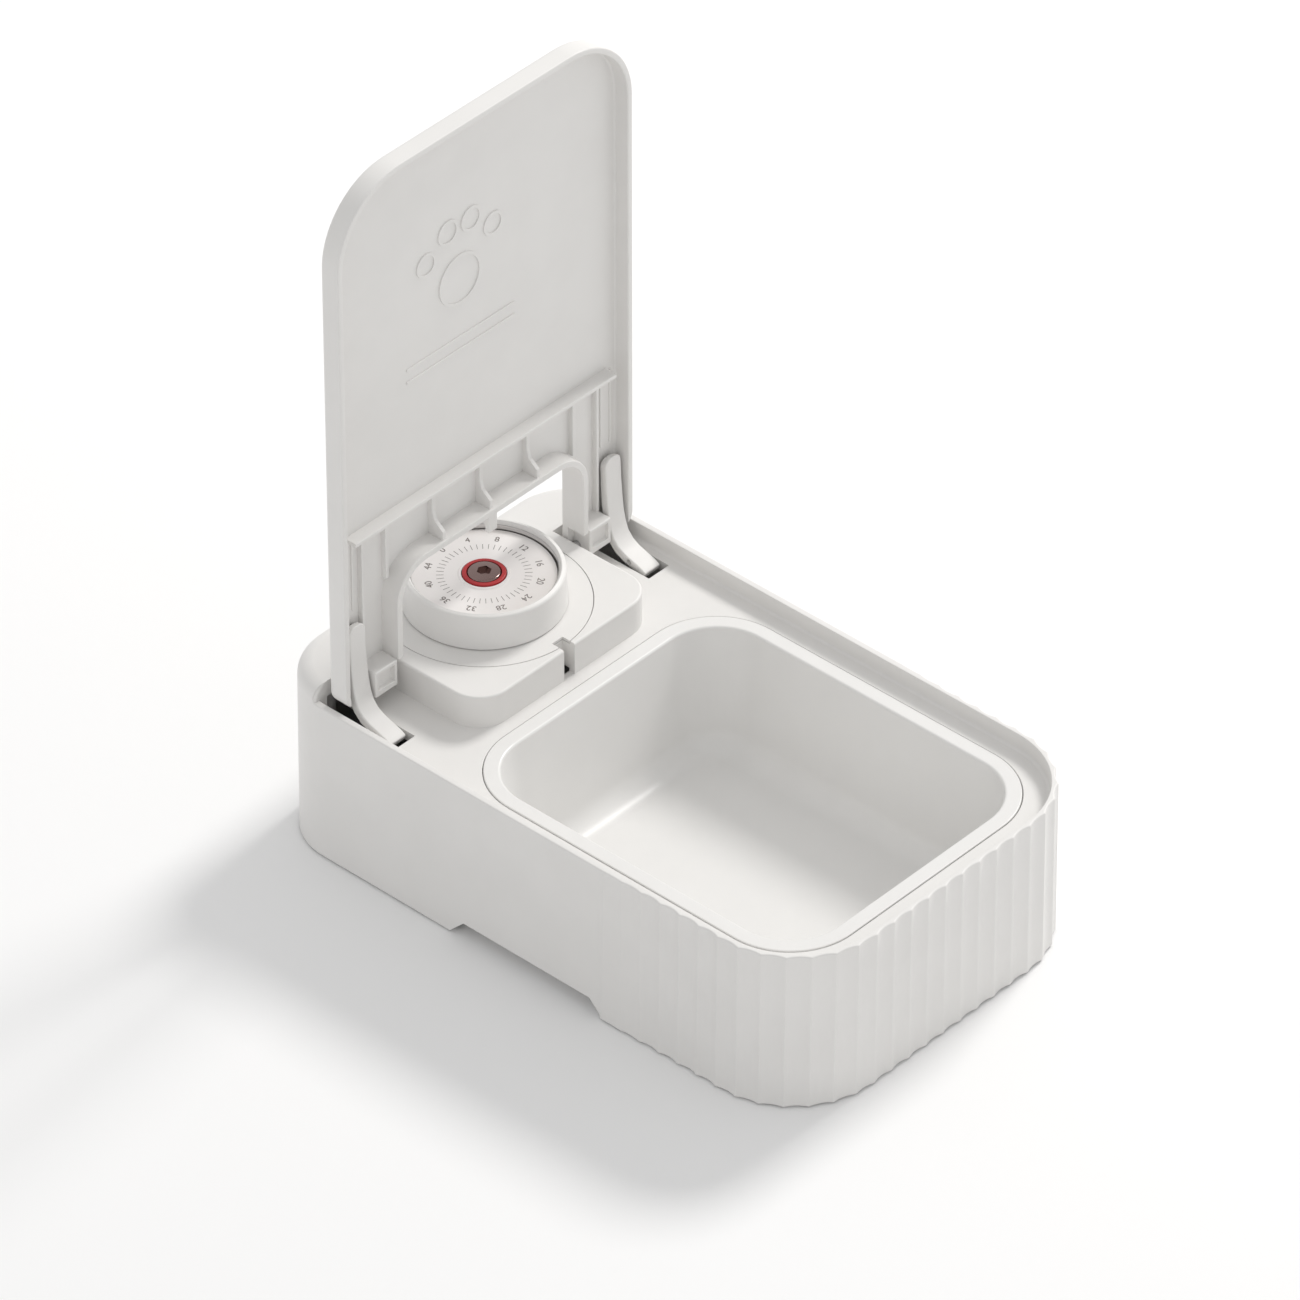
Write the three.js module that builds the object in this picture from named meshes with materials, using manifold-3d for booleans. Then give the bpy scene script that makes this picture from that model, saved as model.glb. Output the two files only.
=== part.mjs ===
// Timed one-meal pet feeder, shown with the lid raised and the clockwork run down.
// Millimetres. X runs across the body, -Y is the bowl end, +Y the hinge end, Z is up.
// The origin is the middle of the footprint on the floor.
import * as THREE from 'three';
import { mergeVertices } from 'three/addons/utils/BufferGeometryUtils.js';
import Module from 'manifold-3d';

const wasm = await Module();
wasm.setup();

// ---- driving dimensions ------------------------------------------------------
const BODY_W = 148, BODY_L = 240;            // outer plan size at the rim
const R_FRONT = 35, R_REAR = 25;             // plan corner radii
const WALL = 2.5, Z_EDGE = 0.8;              // wall thickness, lower edge of the wall
const Z_RIM = 63.4, Z_TRAY = 56.7, TRAY_T = 4;
const FLARE = 0.0095;                        // how much wider the body is at the floor
const FLUTE_PITCH = 8.5, FLUTE_DEPTH = 1.0, FLUTE_START = -32;
const Z_DECK = 69.5, DECK_HALF = 43.4, DECK_FRONT = 50.75, DECK_R = 12;
const BLOCK_FRONT = 98, BLOCK_FILLET = 4;
const NOTCH_Z = 6.3, NOTCH = [-25.9, 30.8], NOTCH_RAMP = 5.6;

const SEAM_HALF = 64.7, SEAM_FRONT = -108.3, SEAM_REAR = 45.6, SEAM_R = 27;
const BOWL_TOP = 57.0, BOWL_FLOOR = 10.5, BOWL_RIM_W = 6.2, BOWL_T = 2, BOWL_DRAFT = 0.0021;

const HINGE_Y = 90.55, HINGE_Z = 65.2;
const LID_HALF = 70.4, LID_TOP = 271.8, LID_FOOT = 64, LID_R = 30;
const LID_BACK = 94.85, LID_PLATE = 2.5, LID_SKIRT = 86.3, LID_SKIRT_T = 2.3;
const WIN_HALF = 44.4, WIN_TOP = 107.5, WIN_R = 12, WIN_T = 2.3, WIN_FRONT = 84.85;
const RIB_TOP = 129.7, RIB_FRONT = 87.3, RIB_T = 1.5, RIB_HALF = 63.5;
const FIN_FRONT = 90.3, STAY_X = 57.2;
const LUG = [47.2, 57.8], LUG_TOP = 73.7, LUG_R = 4.6;

const ARM = [58.8, 66.5], SLOT = [57.6, 67.7], SLOT_Y = [67.4, 102];
const KNOB_Y = 89.45, KNOB_R = 27.8, KNOB_TOP = 83.5, DIAL_R = 24.6, DIAL_Z = 80.3;
const SEAL_R = 36.5, EAR = [31.4, 79.5];     // seal plate, timer fixing ears

// ---- colours -------------------------------------------------------------------
const white = [0xeeedea, 0.48, 0], soft = [0xe6e4e0, 0.5, 0], glaze = [0xf3f2f0, 0.28, 0];
const grey = [0x8b8c8e, 0.55, 0], rubber = [0x3b3b3d, 0.85, 0], steel = [0xb9bbbd, 0.32, 1];
const silver = [0xd6cdc6, 0.3, 0.9], chrome = [0xc9cacc, 0.12, 1], red = [0xb3242c, 0.4, 0];
const group = new THREE.Group();
group.name = 'pet_feeder';

// ---- shaping helpers -----------------------------------------------------------
const solid = (g) => {
  for (const n of ['normal', 'uv']) if (g.getAttribute(n)) g.deleteAttribute(n);
  const m = mergeVertices(g, 1e-4);
  return new wasm.Manifold(new wasm.Mesh({
    numProp: 3,
    vertProperties: Float32Array.from(m.getAttribute('position').array),
    triVerts: Uint32Array.from(m.index.array),
  }));
};
const join = (a, ...rest) => rest.reduce((s, b) => s.add(b), a);
const cut = (a, ...rest) => rest.reduce((s, b) => s.subtract(b), a);
const place = (name, body, [color, roughness, metalness]) => {
  const m = body.getMesh(), g = new THREE.BufferGeometry();
  g.setAttribute('position', new THREE.BufferAttribute(Float32Array.from(m.vertProperties), 3));
  g.setIndex(new THREE.BufferAttribute(Uint32Array.from(m.triVerts), 1));
  g.computeVertexNormals();
  const mesh = new THREE.Mesh(g, new THREE.MeshStandardMaterial({ color, roughness, metalness }));
  mesh.name = name;
  group.add(mesh);
};
const shapeOf = (pts) => new THREE.Shape(pts.map(([a, b]) => new THREE.Vector2(a, b)));
const extruded = (pts, depth, bevel = 0, segs = 1) => new THREE.ExtrudeGeometry(shapeOf(pts), {
  depth: depth - 2 * bevel, bevelEnabled: bevel > 0, bevelThickness: bevel, bevelSize: bevel,
  bevelOffset: -bevel, bevelSegments: segs, steps: 1,
}).translate(0, 0, bevel);
// plan outline raised between two heights
const up = (pts, z0, z1, bevel, segs) => extruded(pts, z1 - z0, bevel, segs).translate(0, 0, z0);
// outline in X and Z given thickness along Y
const deep = (pts, y0, y1, bevel, segs) => extruded(pts, y1 - y0, bevel, segs)
  .applyMatrix4(new THREE.Matrix4().makeBasis(
    new THREE.Vector3(1, 0, 0), new THREE.Vector3(0, 0, 1), new THREE.Vector3(0, -1, 0)))
  .translate(0, y1, 0);
// outline in Y and Z given thickness along X
const wide = (pts, x0, x1, bevel, segs) => extruded(pts, x1 - x0, bevel, segs)
  .applyMatrix4(new THREE.Matrix4().makeBasis(
    new THREE.Vector3(0, 1, 0), new THREE.Vector3(0, 0, 1), new THREE.Vector3(1, 0, 0)))
  .translate(x0, 0, 0);
const block = (x0, x1, y0, y1, z0, z1) => solid(new THREE.BoxGeometry(x1 - x0, y1 - y0, z1 - z0)
  .translate((x0 + x1) / 2, (y0 + y1) / 2, (z0 + z1) / 2));
// closed radius and height profile spun about an upright axis
const spun = (profile, x, y, segs = 48) => solid(new THREE.LatheGeometry(
  [...profile, profile[0]].map(([r, z]) => new THREE.Vector2(Math.max(r, 1e-5), z)), segs)
  .rotateX(Math.PI / 2).translate(x, y, 0));
const post = (x, y, r, z0, z1, segs = 24) => solid(
  new THREE.CylinderGeometry(r, r, z1 - z0, segs).rotateX(Math.PI / 2)
    .translate(x, y, (z0 + z1) / 2));
const rodX = (y, z, r, x0, x1, segs = 24) => solid(
  new THREE.CylinderGeometry(r, r, x1 - x0, segs).rotateZ(Math.PI / 2)
    .translate((x0 + x1) / 2, y, z));
const mirrored = (s) => s.mirror([1, 0, 0]);
const bothSides = (s) => s.add(mirrored(s));

// rounded rectangle, counter-clockwise from the lower right corner
const rounded = (x0, x1, y0, y1, rLow, rHigh = rLow, n = 10) => {
  const pts = [];
  const arc = (cx, cy, r, a0) => {
    for (let i = 0; i <= n; i++) {
      const a = a0 + (i / n) * Math.PI / 2;
      pts.push([cx + r * Math.cos(a), cy + r * Math.sin(a)]);
    }
  };
  arc(x1 - rLow, y0 + rLow, rLow, -Math.PI / 2);
  arc(x1 - rHigh, y1 - rHigh, rHigh, 0);
  arc(x0 + rHigh, y1 - rHigh, rHigh, Math.PI / 2);
  arc(x0 + rLow, y0 + rLow, rLow, Math.PI);
  return pts;
};
const bodyPlan = (inset, n = 10) => rounded(-BODY_W / 2 + inset, BODY_W / 2 - inset,
  -BODY_L / 2 + inset, BODY_L / 2 - inset, R_FRONT - inset, R_REAR - inset, n);

// plan outline with shallow hollow flutes from one side, round the front, to the other
const flutedPlan = () => {
  const hw = BODY_W / 2, side = FLUTE_START - (-BODY_L / 2 + R_FRONT), arc = R_FRONT * Math.PI / 2;
  const front = BODY_W - 2 * R_FRONT, total = 2 * (side + arc) + front;
  const count = Math.round(total / FLUTE_PITCH), pts = [];
  const at = (s, d) => {               // s along the run, d inward
    if (s < side) return [-hw + d, FLUTE_START - s];
    if (s < side + arc) {
      const a = Math.PI + (s - side) / R_FRONT;
      return [-hw + R_FRONT + (R_FRONT - d) * Math.cos(a),
        -BODY_L / 2 + R_FRONT + (R_FRONT - d) * Math.sin(a)];
    }
    if (s < side + arc + front) return [-hw + R_FRONT + s - side - arc, -BODY_L / 2 + d];
    const t = s - side - arc - front;
    if (t < arc) {
      const a = 1.5 * Math.PI + t / R_FRONT;
      return [hw - R_FRONT + (R_FRONT - d) * Math.cos(a),
        -BODY_L / 2 + R_FRONT + (R_FRONT - d) * Math.sin(a)];
    }
    return [hw - d, -BODY_L / 2 + R_FRONT + t - arc];
  };
  for (let i = 0; i < count; i++) {
    const fade = Math.min(1, (Math.min(i, count - 1 - i) + 0.4) / 3);
    for (const [u, d] of [[0, 0], [0.18, 0.62], [0.5, 1], [0.82, 0.62]]) {
      pts.push(at((i + u) * total / count, d * FLUTE_DEPTH * fade));
    }
  }
  pts.push(at(total - 1e-6, 0));
  const rear = bodyPlan(0).filter(([, y]) => y > 0);
  return [...pts, ...rear];
};

// ---- housing: walls, tray, rear block and timer deck in one moulding ------------
const flare = (g) => {
  const p = g.getAttribute('position');
  for (let i = 0; i < p.count; i++) p.setX(i, p.getX(i) * (1 + FLARE * (1 - p.getZ(i) / Z_RIM)));
  return g;
};
const deckPlan = (inset) => rounded(-DECK_HALF + inset, DECK_HALF - inset,
  DECK_FRONT + inset, BLOCK_FRONT + 8, DECK_R - inset, 0.5, 5);
const seamPlan = (inset) => rounded(-SEAM_HALF + inset, SEAM_HALF - inset,
  SEAM_FRONT + inset, SEAM_REAR - inset, SEAM_R - inset);
const fingerNotch = (z) => [
  [NOTCH[0] - NOTCH_RAMP, -2], [NOTCH[0] - NOTCH_RAMP, Z_EDGE], [NOTCH[0], z], [NOTCH[1], z],
  [NOTCH[1] + NOTCH_RAMP, Z_EDGE], [NOTCH[1] + NOTCH_RAMP, -2]];
const PILLARS = [[66, -58], [60, 107]];
const SCREWS = PILLARS.flatMap(([x, y]) => [[x, y], [-x, y]]);

const housing = () => {
  const back = block(-80, 80, BLOCK_FRONT, 130, 30, 90);
  const raised = solid(up(bodyPlan(0), 30, Z_DECK, BLOCK_FILLET, 3)).intersect(back);
  const deck = solid(up(deckPlan(0), 50, Z_DECK));
  const outer = join(solid(flare(up(flutedPlan(), Z_EDGE, Z_RIM))), raised, deck);
  const well = cut(solid(up(bodyPlan(WALL), Z_TRAY, 80))
    .intersect(block(-80, 80, -130, BLOCK_FRONT, 50, 90)), deck);
  const room = join(solid(up(bodyPlan(WALL), -2, Z_TRAY - TRAY_T)),
    solid(up(bodyPlan(WALL), 40, Z_DECK - WALL))
      .intersect(block(-80, 80, BLOCK_FRONT + WALL, 130, 30, 90)),
    solid(up(deckPlan(WALL), 40, Z_DECK - WALL)));
  const shelf = SEAM_HALF - 3.4;
  const bowlHole = join(solid(up(seamPlan(0), 55, 60)), solid(up(seamPlan(3.4), 40, 60)));
  const slots = bothSides(block(...SLOT, ...SLOT_Y, 40, 63.2));
  let body = cut(outer, well, room, bowlHole, slots);
  // solid pad behind the latch notch, pillars for the base screws, finger recesses
  body = join(body, block(-6, 6, DECK_FRONT, 60, 56, Z_DECK - 1));
  for (const [x, y] of SCREWS) body = join(body, post(x, y, 4, 6.6, y > 90 ? Z_DECK - 2 : Z_TRAY - 2));
  for (const s of [-1, 1]) {
    const [a, b] = s > 0 ? [shelf - 1, 73] : [-73, 1 - shelf];
    body = join(body, solid(wide(fingerNotch(NOTCH_Z + 1.8), a, b))
      .intersect(block(-80, 80, -60, 60, 1.6, 20)));
    body = cut(body, solid(wide(fingerNotch(NOTCH_Z), s > 0 ? a + 1.8 : -90, s > 0 ? 90 : b - 1.8)));
  }
  body = cut(body, block(-2.6, 2.6, 40, 56.3, Z_TRAY, 80), block(-1.8, 1.8, 50, 64, 61.4, 64.2));
  for (const [x, y] of SCREWS) body = cut(body, post(x, y, 1.8, 0, 20));
  // seat for the round seal plate under the knob, and the hinge pin holes
  body = cut(body, post(0, KNOB_Y, SEAL_R + 0.3, Z_DECK - 1.2, 80, 64)
    .intersect(block(-80, 80, 0, 114.3, 0, 90)), post(0, KNOB_Y, 12, 60, 80, 32));
  body = cut(body, bothSides(rodX(HINGE_Y, HINGE_Z, 1.6, 38, 46)),
    bothSides(rodX(HINGE_Y, HINGE_Z, 3, 37, 40.9)));
  for (const x of [-EAR[0], EAR[0]]) {
    body = join(body, post(x, EAR[1], 3.6, 60.5, Z_DECK - 1.5));
    body = cut(body, post(x, EAR[1], 1.5, 60, 66.5, 16));
  }
  place('main_housing', body, white);
};

const baseParts = () => {
  let plate = solid(up(bodyPlan(WALL + 0.4, 6), 1.6, 3.6));
  for (const s of [-1, 1]) {
    plate = cut(plate, block(s > 0 ? 59.9 : -80, s > 0 ? 80 : -59.9,
      NOTCH[0] - NOTCH_RAMP - 2.4, NOTCH[1] + NOTCH_RAMP + 2.4, 0, 10));
  }
  for (const [x, y] of SCREWS) plate = join(plate, post(x, y, 4.6, 1.6, 6.2));
  for (const [x, y] of SCREWS) {
    plate = cut(plate, post(x, y, 3.6, 0, 4.2, 20), post(x, y, 1.8, 0, 8, 16));
  }
  place('base_cover', plate, soft);
  SCREWS.forEach(([x, y], i) => {
    const head = join(post(x, y, 3.1, 2.1, 3.9, 20), post(x, y, 1.5, 3, 15, 14));
    const cross = join(block(x - 2, x + 2, y - 0.4, y + 0.4, 1.9, 2.9),
      block(x - 0.4, x + 0.4, y - 2, y + 2, 1.9, 2.9));
    place(`base_screw_${i + 1}`, cut(head, cross), steel);
  });
  [[52, -88], [-52, -88], [44, 96], [-44, 96]].forEach(([x, y], i) => {
    place(`foot_${i + 1}`, spun([[0, 0], [5.4, 0], [6, 0.6], [6, 1.3], [0, 1.3]], x, y, 24), rubber);
  });
};

// ---- removable food bowl ---------------------------------------------------------
const bowl = () => {
  const mid = (SEAM_FRONT + SEAM_REAR) / 2;
  const tub = (inset, z0, z1, round) => {
    const g = up(seamPlan(inset), z0, z1, round, 4), p = g.getAttribute('position');
    for (let i = 0; i < p.count; i++) {
      const k = 1 - BOWL_DRAFT * Math.max(0, BOWL_TOP - p.getZ(i));
      p.setX(i, p.getX(i) * k);
      p.setY(i, mid + (p.getY(i) - mid) * k);
    }
    return solid(g);
  };
  const outer = join(solid(up(seamPlan(0.3), 55.3, BOWL_TOP)),
    tub(BOWL_RIM_W - 2, BOWL_FLOOR - BOWL_T, 80, 8).intersect(block(-90, 90, -130, 60, 0, 56)));
  place('food_bowl', cut(outer, tub(BOWL_RIM_W, BOWL_FLOOR, 80, 7)), glaze);
};

// ---- lid, raised ------------------------------------------------------------------
const lidPlan = (inset, foot, rLow) => rounded(-LID_HALF + inset, LID_HALF - inset,
  foot, LID_TOP - inset, rLow, LID_R - inset);
const lid = () => {
  const front = LID_BACK - LID_PLATE;
  let body = solid(deep(lidPlan(0, LID_FOOT, 5), LID_SKIRT, LID_BACK, 0.8, 2));
  body = cut(body, solid(deep(lidPlan(LID_SKIRT_T, LID_FOOT - 10, 4), LID_SKIRT - 3, front)));
  // window frame, cross rib with fins, side stays, hinge lugs
  const frame = (g, y0, y1) => solid(deep(rounded(-WIN_HALF - g, WIN_HALF + g, 50, WIN_TOP + g,
    1, WIN_R + g, 6), y0, y1));
  body = join(body, frame(WIN_T, WIN_FRONT, front + 0.5)
    .intersect(block(-80, 80, 80, 96, LUG_TOP - 0.5, 140)));
  body = join(body, block(-RIB_HALF, RIB_HALF, RIB_FRONT, front + 0.5, RIB_TOP - RIB_T, RIB_TOP));
  for (const x of [-45.6, -23, 0, 23, 45.6]) {
    const foot = Math.abs(x) > 40 ? 104 : WIN_TOP + 0.5, lip = Math.abs(x) > 40 ? 0 : 1;
    body = join(body, solid(wide([[front + 0.5, foot], [front + 0.5, RIB_TOP - 0.5],
      [FIN_FRONT, RIB_TOP - 0.5], [FIN_FRONT, foot + 11], [FIN_FRONT - 0.8 * lip, foot + 8],
      [FIN_FRONT - 4.6 * lip, foot + 5], [FIN_FRONT - 5 * lip, foot]], x - 0.8, x + 0.8)));
  }
  body = join(body, bothSides(block(STAY_X - 0.6, STAY_X + 0.6, FIN_FRONT, front + 0.5,
    LUG_TOP - 1, RIB_TOP - 0.5)));
  for (const x of [60.6, 65.2]) {
    body = join(body, bothSides(block(x - 0.4, x + 0.4, front - 0.4, front + 0.4, 98, RIB_TOP - 1)));
  }
  const lug = join(block(...LUG, WIN_FRONT, LID_BACK - 0.8, HINGE_Z, LUG_TOP),
    rodX(HINGE_Y, HINGE_Z, LUG_R, ...LUG, 32),
    block(...LUG, WIN_FRONT, HINGE_Y, HINGE_Z - 2, LUG_TOP));
  body = join(body, bothSides(lug));
  body = cut(body, bothSides(block(LUG[0] + 1.4, LUG[1] - 1.4, 80, WIN_FRONT + 1.6, 65.6, 72.3)),
    frame(0, 60, 120), bothSides(rodX(HINGE_Y, HINGE_Z, 1.6, 30, 56)));
  // clear the foot of each leg behind the hinge so it can roll past the rear block
  body = cut(body, solid(wide([[LID_BACK - 2.2, LID_FOOT - 2], [LID_BACK - 1.2, LID_FOOT + 1.6],
    [LID_BACK + 1, LID_FOOT + 5], [LID_BACK + 3, LID_FOOT - 2]], -90, 90)));
  // raised pictogram: a plain paw and a bar beneath it
  const relief = front - 0.55;
  const disc = (x, z, r) => solid(new THREE.CylinderGeometry(r, r, 0.9, 20)
    .translate(x, relief + 0.45, z));
  const ring = (x, z, r) => cut(disc(x, z, r), disc(x, z, r - 1.1));
  body = join(body, ring(-7, 205, 10), ring(-23, 219, 4.6), ring(-12.5, 226.5, 4.8),
    ring(-1.5, 226.5, 4.8), ring(9, 219, 4.6),
    block(-33, 19, relief, relief + 0.9, 181, 182.2), block(-33, 19, relief, relief + 0.9, 176, 177.2));
  place('lid_panel', body, white);

  const hook = solid(wide([[WIN_FRONT + 0.3, WIN_TOP - 0.3], [WIN_FRONT + 0.3, 100.6],
    [WIN_FRONT + 2, 100.6], [WIN_FRONT + 2.2, 102.4], [WIN_FRONT + 4.4, WIN_TOP - 0.3]], -2.1, 2.1));
  place('lid_catch', hook, white);
};

// bell-crank arms: an upright against the lid, a foot that drops into the tray slot
const arms = () => {
  const outline = [[87.75, 91.5], [88.3, 94], [89.6, 95.2], [90.9, 94], [91.4, 91.5], [90.5, 76],
    [89.6, 68], [88.4, 62.2], [86.2, 58.6], [82, 56.4], [75, 54.4], [71.2, 53.2], [69.8, 54.2],
    [69.6, 55.8], [70.8, 57.2], [75.2, 58.6], [80, 60], [83.4, 62.2], [85.6, 66], [86.8, 72],
    [87.4, 80]];
  ['left', 'right'].forEach((side, i) => {
    const x = i ? ARM : [-ARM[1], -ARM[0]];
    let body = solid(wide(outline, x[0], x[1], 0.5, 1));
    const cx = (x[0] + x[1]) / 2;
    body = cut(body, rodX(72.6, 55.6, 0.7, cx - 9, cx + 9, 12));
    place(`lift_arm_${side}`, body, white);
    const pin = i ? [34, 55.6] : [-55.6, -34];
    place(`hinge_pin_${side}`, rodX(HINGE_Y, HINGE_Z, 1.5, ...pin, 20), steel);
  });
};

// torsion springs round the pins, inside the deck
const springs = () => {
  const coil = (at, n, wire, tube = 6) => {
    const rings = [];
    for (let i = 0; i <= n; i++) {
      const [p, t] = at(i / n), up0 = new THREE.Vector3(1, 0, 0);
      const b = t.clone().cross(up0).normalize(), c = t.clone().cross(b).normalize();
      for (let k = 0; k < tube; k++) {
        const a = (k / tube) * 2 * Math.PI;
        rings.push(p.clone().addScaledVector(b, wire * Math.cos(a))
          .addScaledVector(c, wire * Math.sin(a)));
      }
    }
    const g = new THREE.CylinderGeometry(1, 1, 1, tube, n).toNonIndexed();
    const q = g.getAttribute('position');
    for (let i = 0; i < q.count; i++) {
      const row = Math.round((0.5 - q.getY(i)) * n), flat = Math.hypot(q.getX(i), q.getZ(i)) < 0.5;
      const k = Math.round(Math.atan2(q.getZ(i), q.getX(i)) / (2 * Math.PI) * tube + tube) % tube;
      const v = flat ? at(row / n)[0] : rings[row * tube + k];
      q.setXYZ(i, v.x, v.y, v.z);
    }
    return solid(g);
  };
  const helix = (x0, x1, turns, r) => (t) => {
    const a = 2 * Math.PI * turns * t;
    const p = new THREE.Vector3(x0 + (x1 - x0) * t, HINGE_Y + r * Math.cos(a), HINGE_Z - r * Math.sin(a));
    const d = new THREE.Vector3((x1 - x0) / (2 * Math.PI * turns), -r * Math.sin(a), -r * Math.cos(a));
    return [p, d.normalize()];
  };
  ['left', 'right'].forEach((side, i) => {
    const s = i ? 1 : -1, made = coil(helix(s * 37.7, s * 40.2, 3, 2.25), 42, 0.38);
    place(`lid_spring_${side}`, made, steel);
  });
};

// ---- timer: seal plate, knob, dial and works ----------------------------------------
const timer = () => {
  place('seal_plate', cut(post(0, KNOB_Y, SEAL_R, Z_DECK - 0.9, Z_DECK + 0.05, 64)
    .intersect(block(-80, 80, 0, 114, 0, 90)), post(0, KNOB_Y, 3.1, 60, 80),
  block(-2.6, 2.6, 40, 56.3, 60, 80)), white);
  const z0 = Z_DECK + 0.5;
  place('timer_knob', spun([[3.3, z0 + 5.5], [24.3, z0 + 5.5], [25.8, z0 + 4], [26.2, z0],
    [28.1, z0], [28.3, z0 + 0.5], [KNOB_R, KNOB_TOP - 1.6], [KNOB_R - 0.5, KNOB_TOP - 0.5],
    [KNOB_R - 1.3, KNOB_TOP], [KNOB_R - 1.9, KNOB_TOP - 0.2], [25.5, KNOB_TOP - 1],
    [25.4, DIAL_Z - 1.8], [3.3, DIAL_Z - 1.8]], 0, KNOB_Y, 72), white);
  place('dial_ring', spun([[24.95, DIAL_Z - 1.5], [25.15, DIAL_Z - 1.5], [25.15, KNOB_TOP - 1.4],
    [24.95, KNOB_TOP - 1.6]], 0, KNOB_Y, 72), chrome);
  place('dial_plate', spun([[7.8, DIAL_Z - 1.5], [DIAL_R, DIAL_Z - 1.5], [DIAL_R, DIAL_Z - 0.2],
    [DIAL_R - 0.3, DIAL_Z], [8.8, DIAL_Z], [8.6, DIAL_Z + 0.4], [7.8, DIAL_Z + 0.4]],
  0, KNOB_Y, 72), silver);
  place('dial_red_ring', spun([[6, DIAL_Z - 1.5], [7.5, DIAL_Z - 1.5], [7.5, DIAL_Z + 0.5],
    [7, DIAL_Z + 0.9], [6, DIAL_Z + 0.9]], 0, KNOB_Y, 32), red);
  const socket = solid(new THREE.CylinderGeometry(2.6, 2.6, 3, 6).rotateX(Math.PI / 2)
    .translate(0, KNOB_Y, DIAL_Z + 1.4));
  place('dial_screw', cut(spun([[0, DIAL_Z - 1.5], [5.7, DIAL_Z - 1.5], [5.7, DIAL_Z + 0.7],
    [4.8, DIAL_Z + 1.5], [0, DIAL_Z + 1.7]], 0, KNOB_Y, 32), socket), chrome);
  place('timer_shaft', spun([[0, 60.6], [3, 60.6], [3, DIAL_Z - 1.8 - 0.3], [0, DIAL_Z - 2.1]],
    0, KNOB_Y, 24), steel);
  // cam with one dip in its edge, round the shaft just under the deck
  const cam = cut(post(0, KNOB_Y, 16, 61.6, 64.6, 48), post(0, KNOB_Y, 3.3, 60, 66),
    post(0, KNOB_Y - 18.5, 4.6, 60, 66));
  place('release_cam', cam, grey);
  let works = spun([[0, 42], [26, 42], [27, 43], [27, 60.2], [4, 60.2], [4, 57], [0, 57]],
    0, KNOB_Y, 48);
  for (const s of [-1, 1]) {
    const x = s * EAR[0];
    works = join(works, post(x, EAR[1], 4.4, 58.5, 60.2),
      block(Math.min(x, s * 22), Math.max(x, s * 22), EAR[1] - 3.5, EAR[1] + 3.5, 58.5, 60.2));
    works = cut(works, post(x, EAR[1], 1.6, 50, 62, 16));
    place(`case_screw_${s < 0 ? 1 : 2}`, join(post(x, EAR[1], 2.6, 56.4, 58.2, 16),
      post(x, EAR[1], 1.3, 57, 65.8, 12)), steel);
  }
  place('timer_case', works, grey);
  place('latch_slide', join(block(-1.4, 1.4, 57.4, 66, 61.8, 63.8),
    block(-3.6, 3.6, 64, 73, 61.8, 63.8)), grey);
};

housing();
baseParts();
bowl();
lid();
arms();
springs();
timer();
export default group;
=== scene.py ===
# %% [markdown]
# # A timed pet feeder with its lid raised
# The feeder is a white moulded tray with a lift-out bowl, a clockwork timer on a raised
# deck and a spring lid that stands up once the meal is served. The CAD model is loaded
# first and stays fixed: it says where everything is. The moulded pieces are then modelled
# again around it with soft edges, and each one rides on the CAD body it belongs to.

# %% Load the fixed frame
import math
import bpy
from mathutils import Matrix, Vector


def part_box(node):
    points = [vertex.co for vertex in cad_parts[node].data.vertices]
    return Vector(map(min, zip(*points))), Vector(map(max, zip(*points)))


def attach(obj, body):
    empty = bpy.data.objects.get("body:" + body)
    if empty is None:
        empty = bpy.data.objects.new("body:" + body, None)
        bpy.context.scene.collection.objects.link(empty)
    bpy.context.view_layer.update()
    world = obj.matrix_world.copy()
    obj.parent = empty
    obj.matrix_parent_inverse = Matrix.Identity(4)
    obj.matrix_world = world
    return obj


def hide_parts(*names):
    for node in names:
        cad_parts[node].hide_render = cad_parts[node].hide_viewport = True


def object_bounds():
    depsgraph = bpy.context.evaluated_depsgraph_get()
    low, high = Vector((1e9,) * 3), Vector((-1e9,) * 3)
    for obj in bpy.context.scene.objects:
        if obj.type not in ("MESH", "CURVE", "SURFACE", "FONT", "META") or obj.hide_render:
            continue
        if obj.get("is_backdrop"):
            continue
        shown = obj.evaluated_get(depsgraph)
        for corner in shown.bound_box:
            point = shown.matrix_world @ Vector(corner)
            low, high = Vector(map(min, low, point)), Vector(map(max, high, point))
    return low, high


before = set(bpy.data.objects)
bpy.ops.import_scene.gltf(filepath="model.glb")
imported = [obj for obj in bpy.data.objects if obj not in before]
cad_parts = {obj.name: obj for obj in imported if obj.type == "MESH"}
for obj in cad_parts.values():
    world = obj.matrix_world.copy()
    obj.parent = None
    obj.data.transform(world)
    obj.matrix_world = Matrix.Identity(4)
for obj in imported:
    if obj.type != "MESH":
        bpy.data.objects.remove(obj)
bpy.context.view_layer.update()
MM = 0.001

# %% [markdown]
# ## Hands on the bench
# A piece is started from a primitive, worked on in edit mode and handed back in object mode.
# These helpers do what the hand does at every step: they take hold of the new piece, let go
# of everything, and select points, edges or faces by where they are. Millimetres go in and
# metres reach Blender.

# %% Taking hold and letting go
QUARTER = math.pi / 2


def clear():
    """Back to object mode with nothing selected."""
    if bpy.context.object and bpy.context.object.mode != "OBJECT":
        bpy.ops.object.mode_set(mode="OBJECT")
    bpy.ops.object.select_all(action="DESELECT")


def hold(piece):
    """Makes one piece the active and selected one."""
    clear()
    bpy.context.view_layer.objects.active = piece
    piece.select_set(True)


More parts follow.
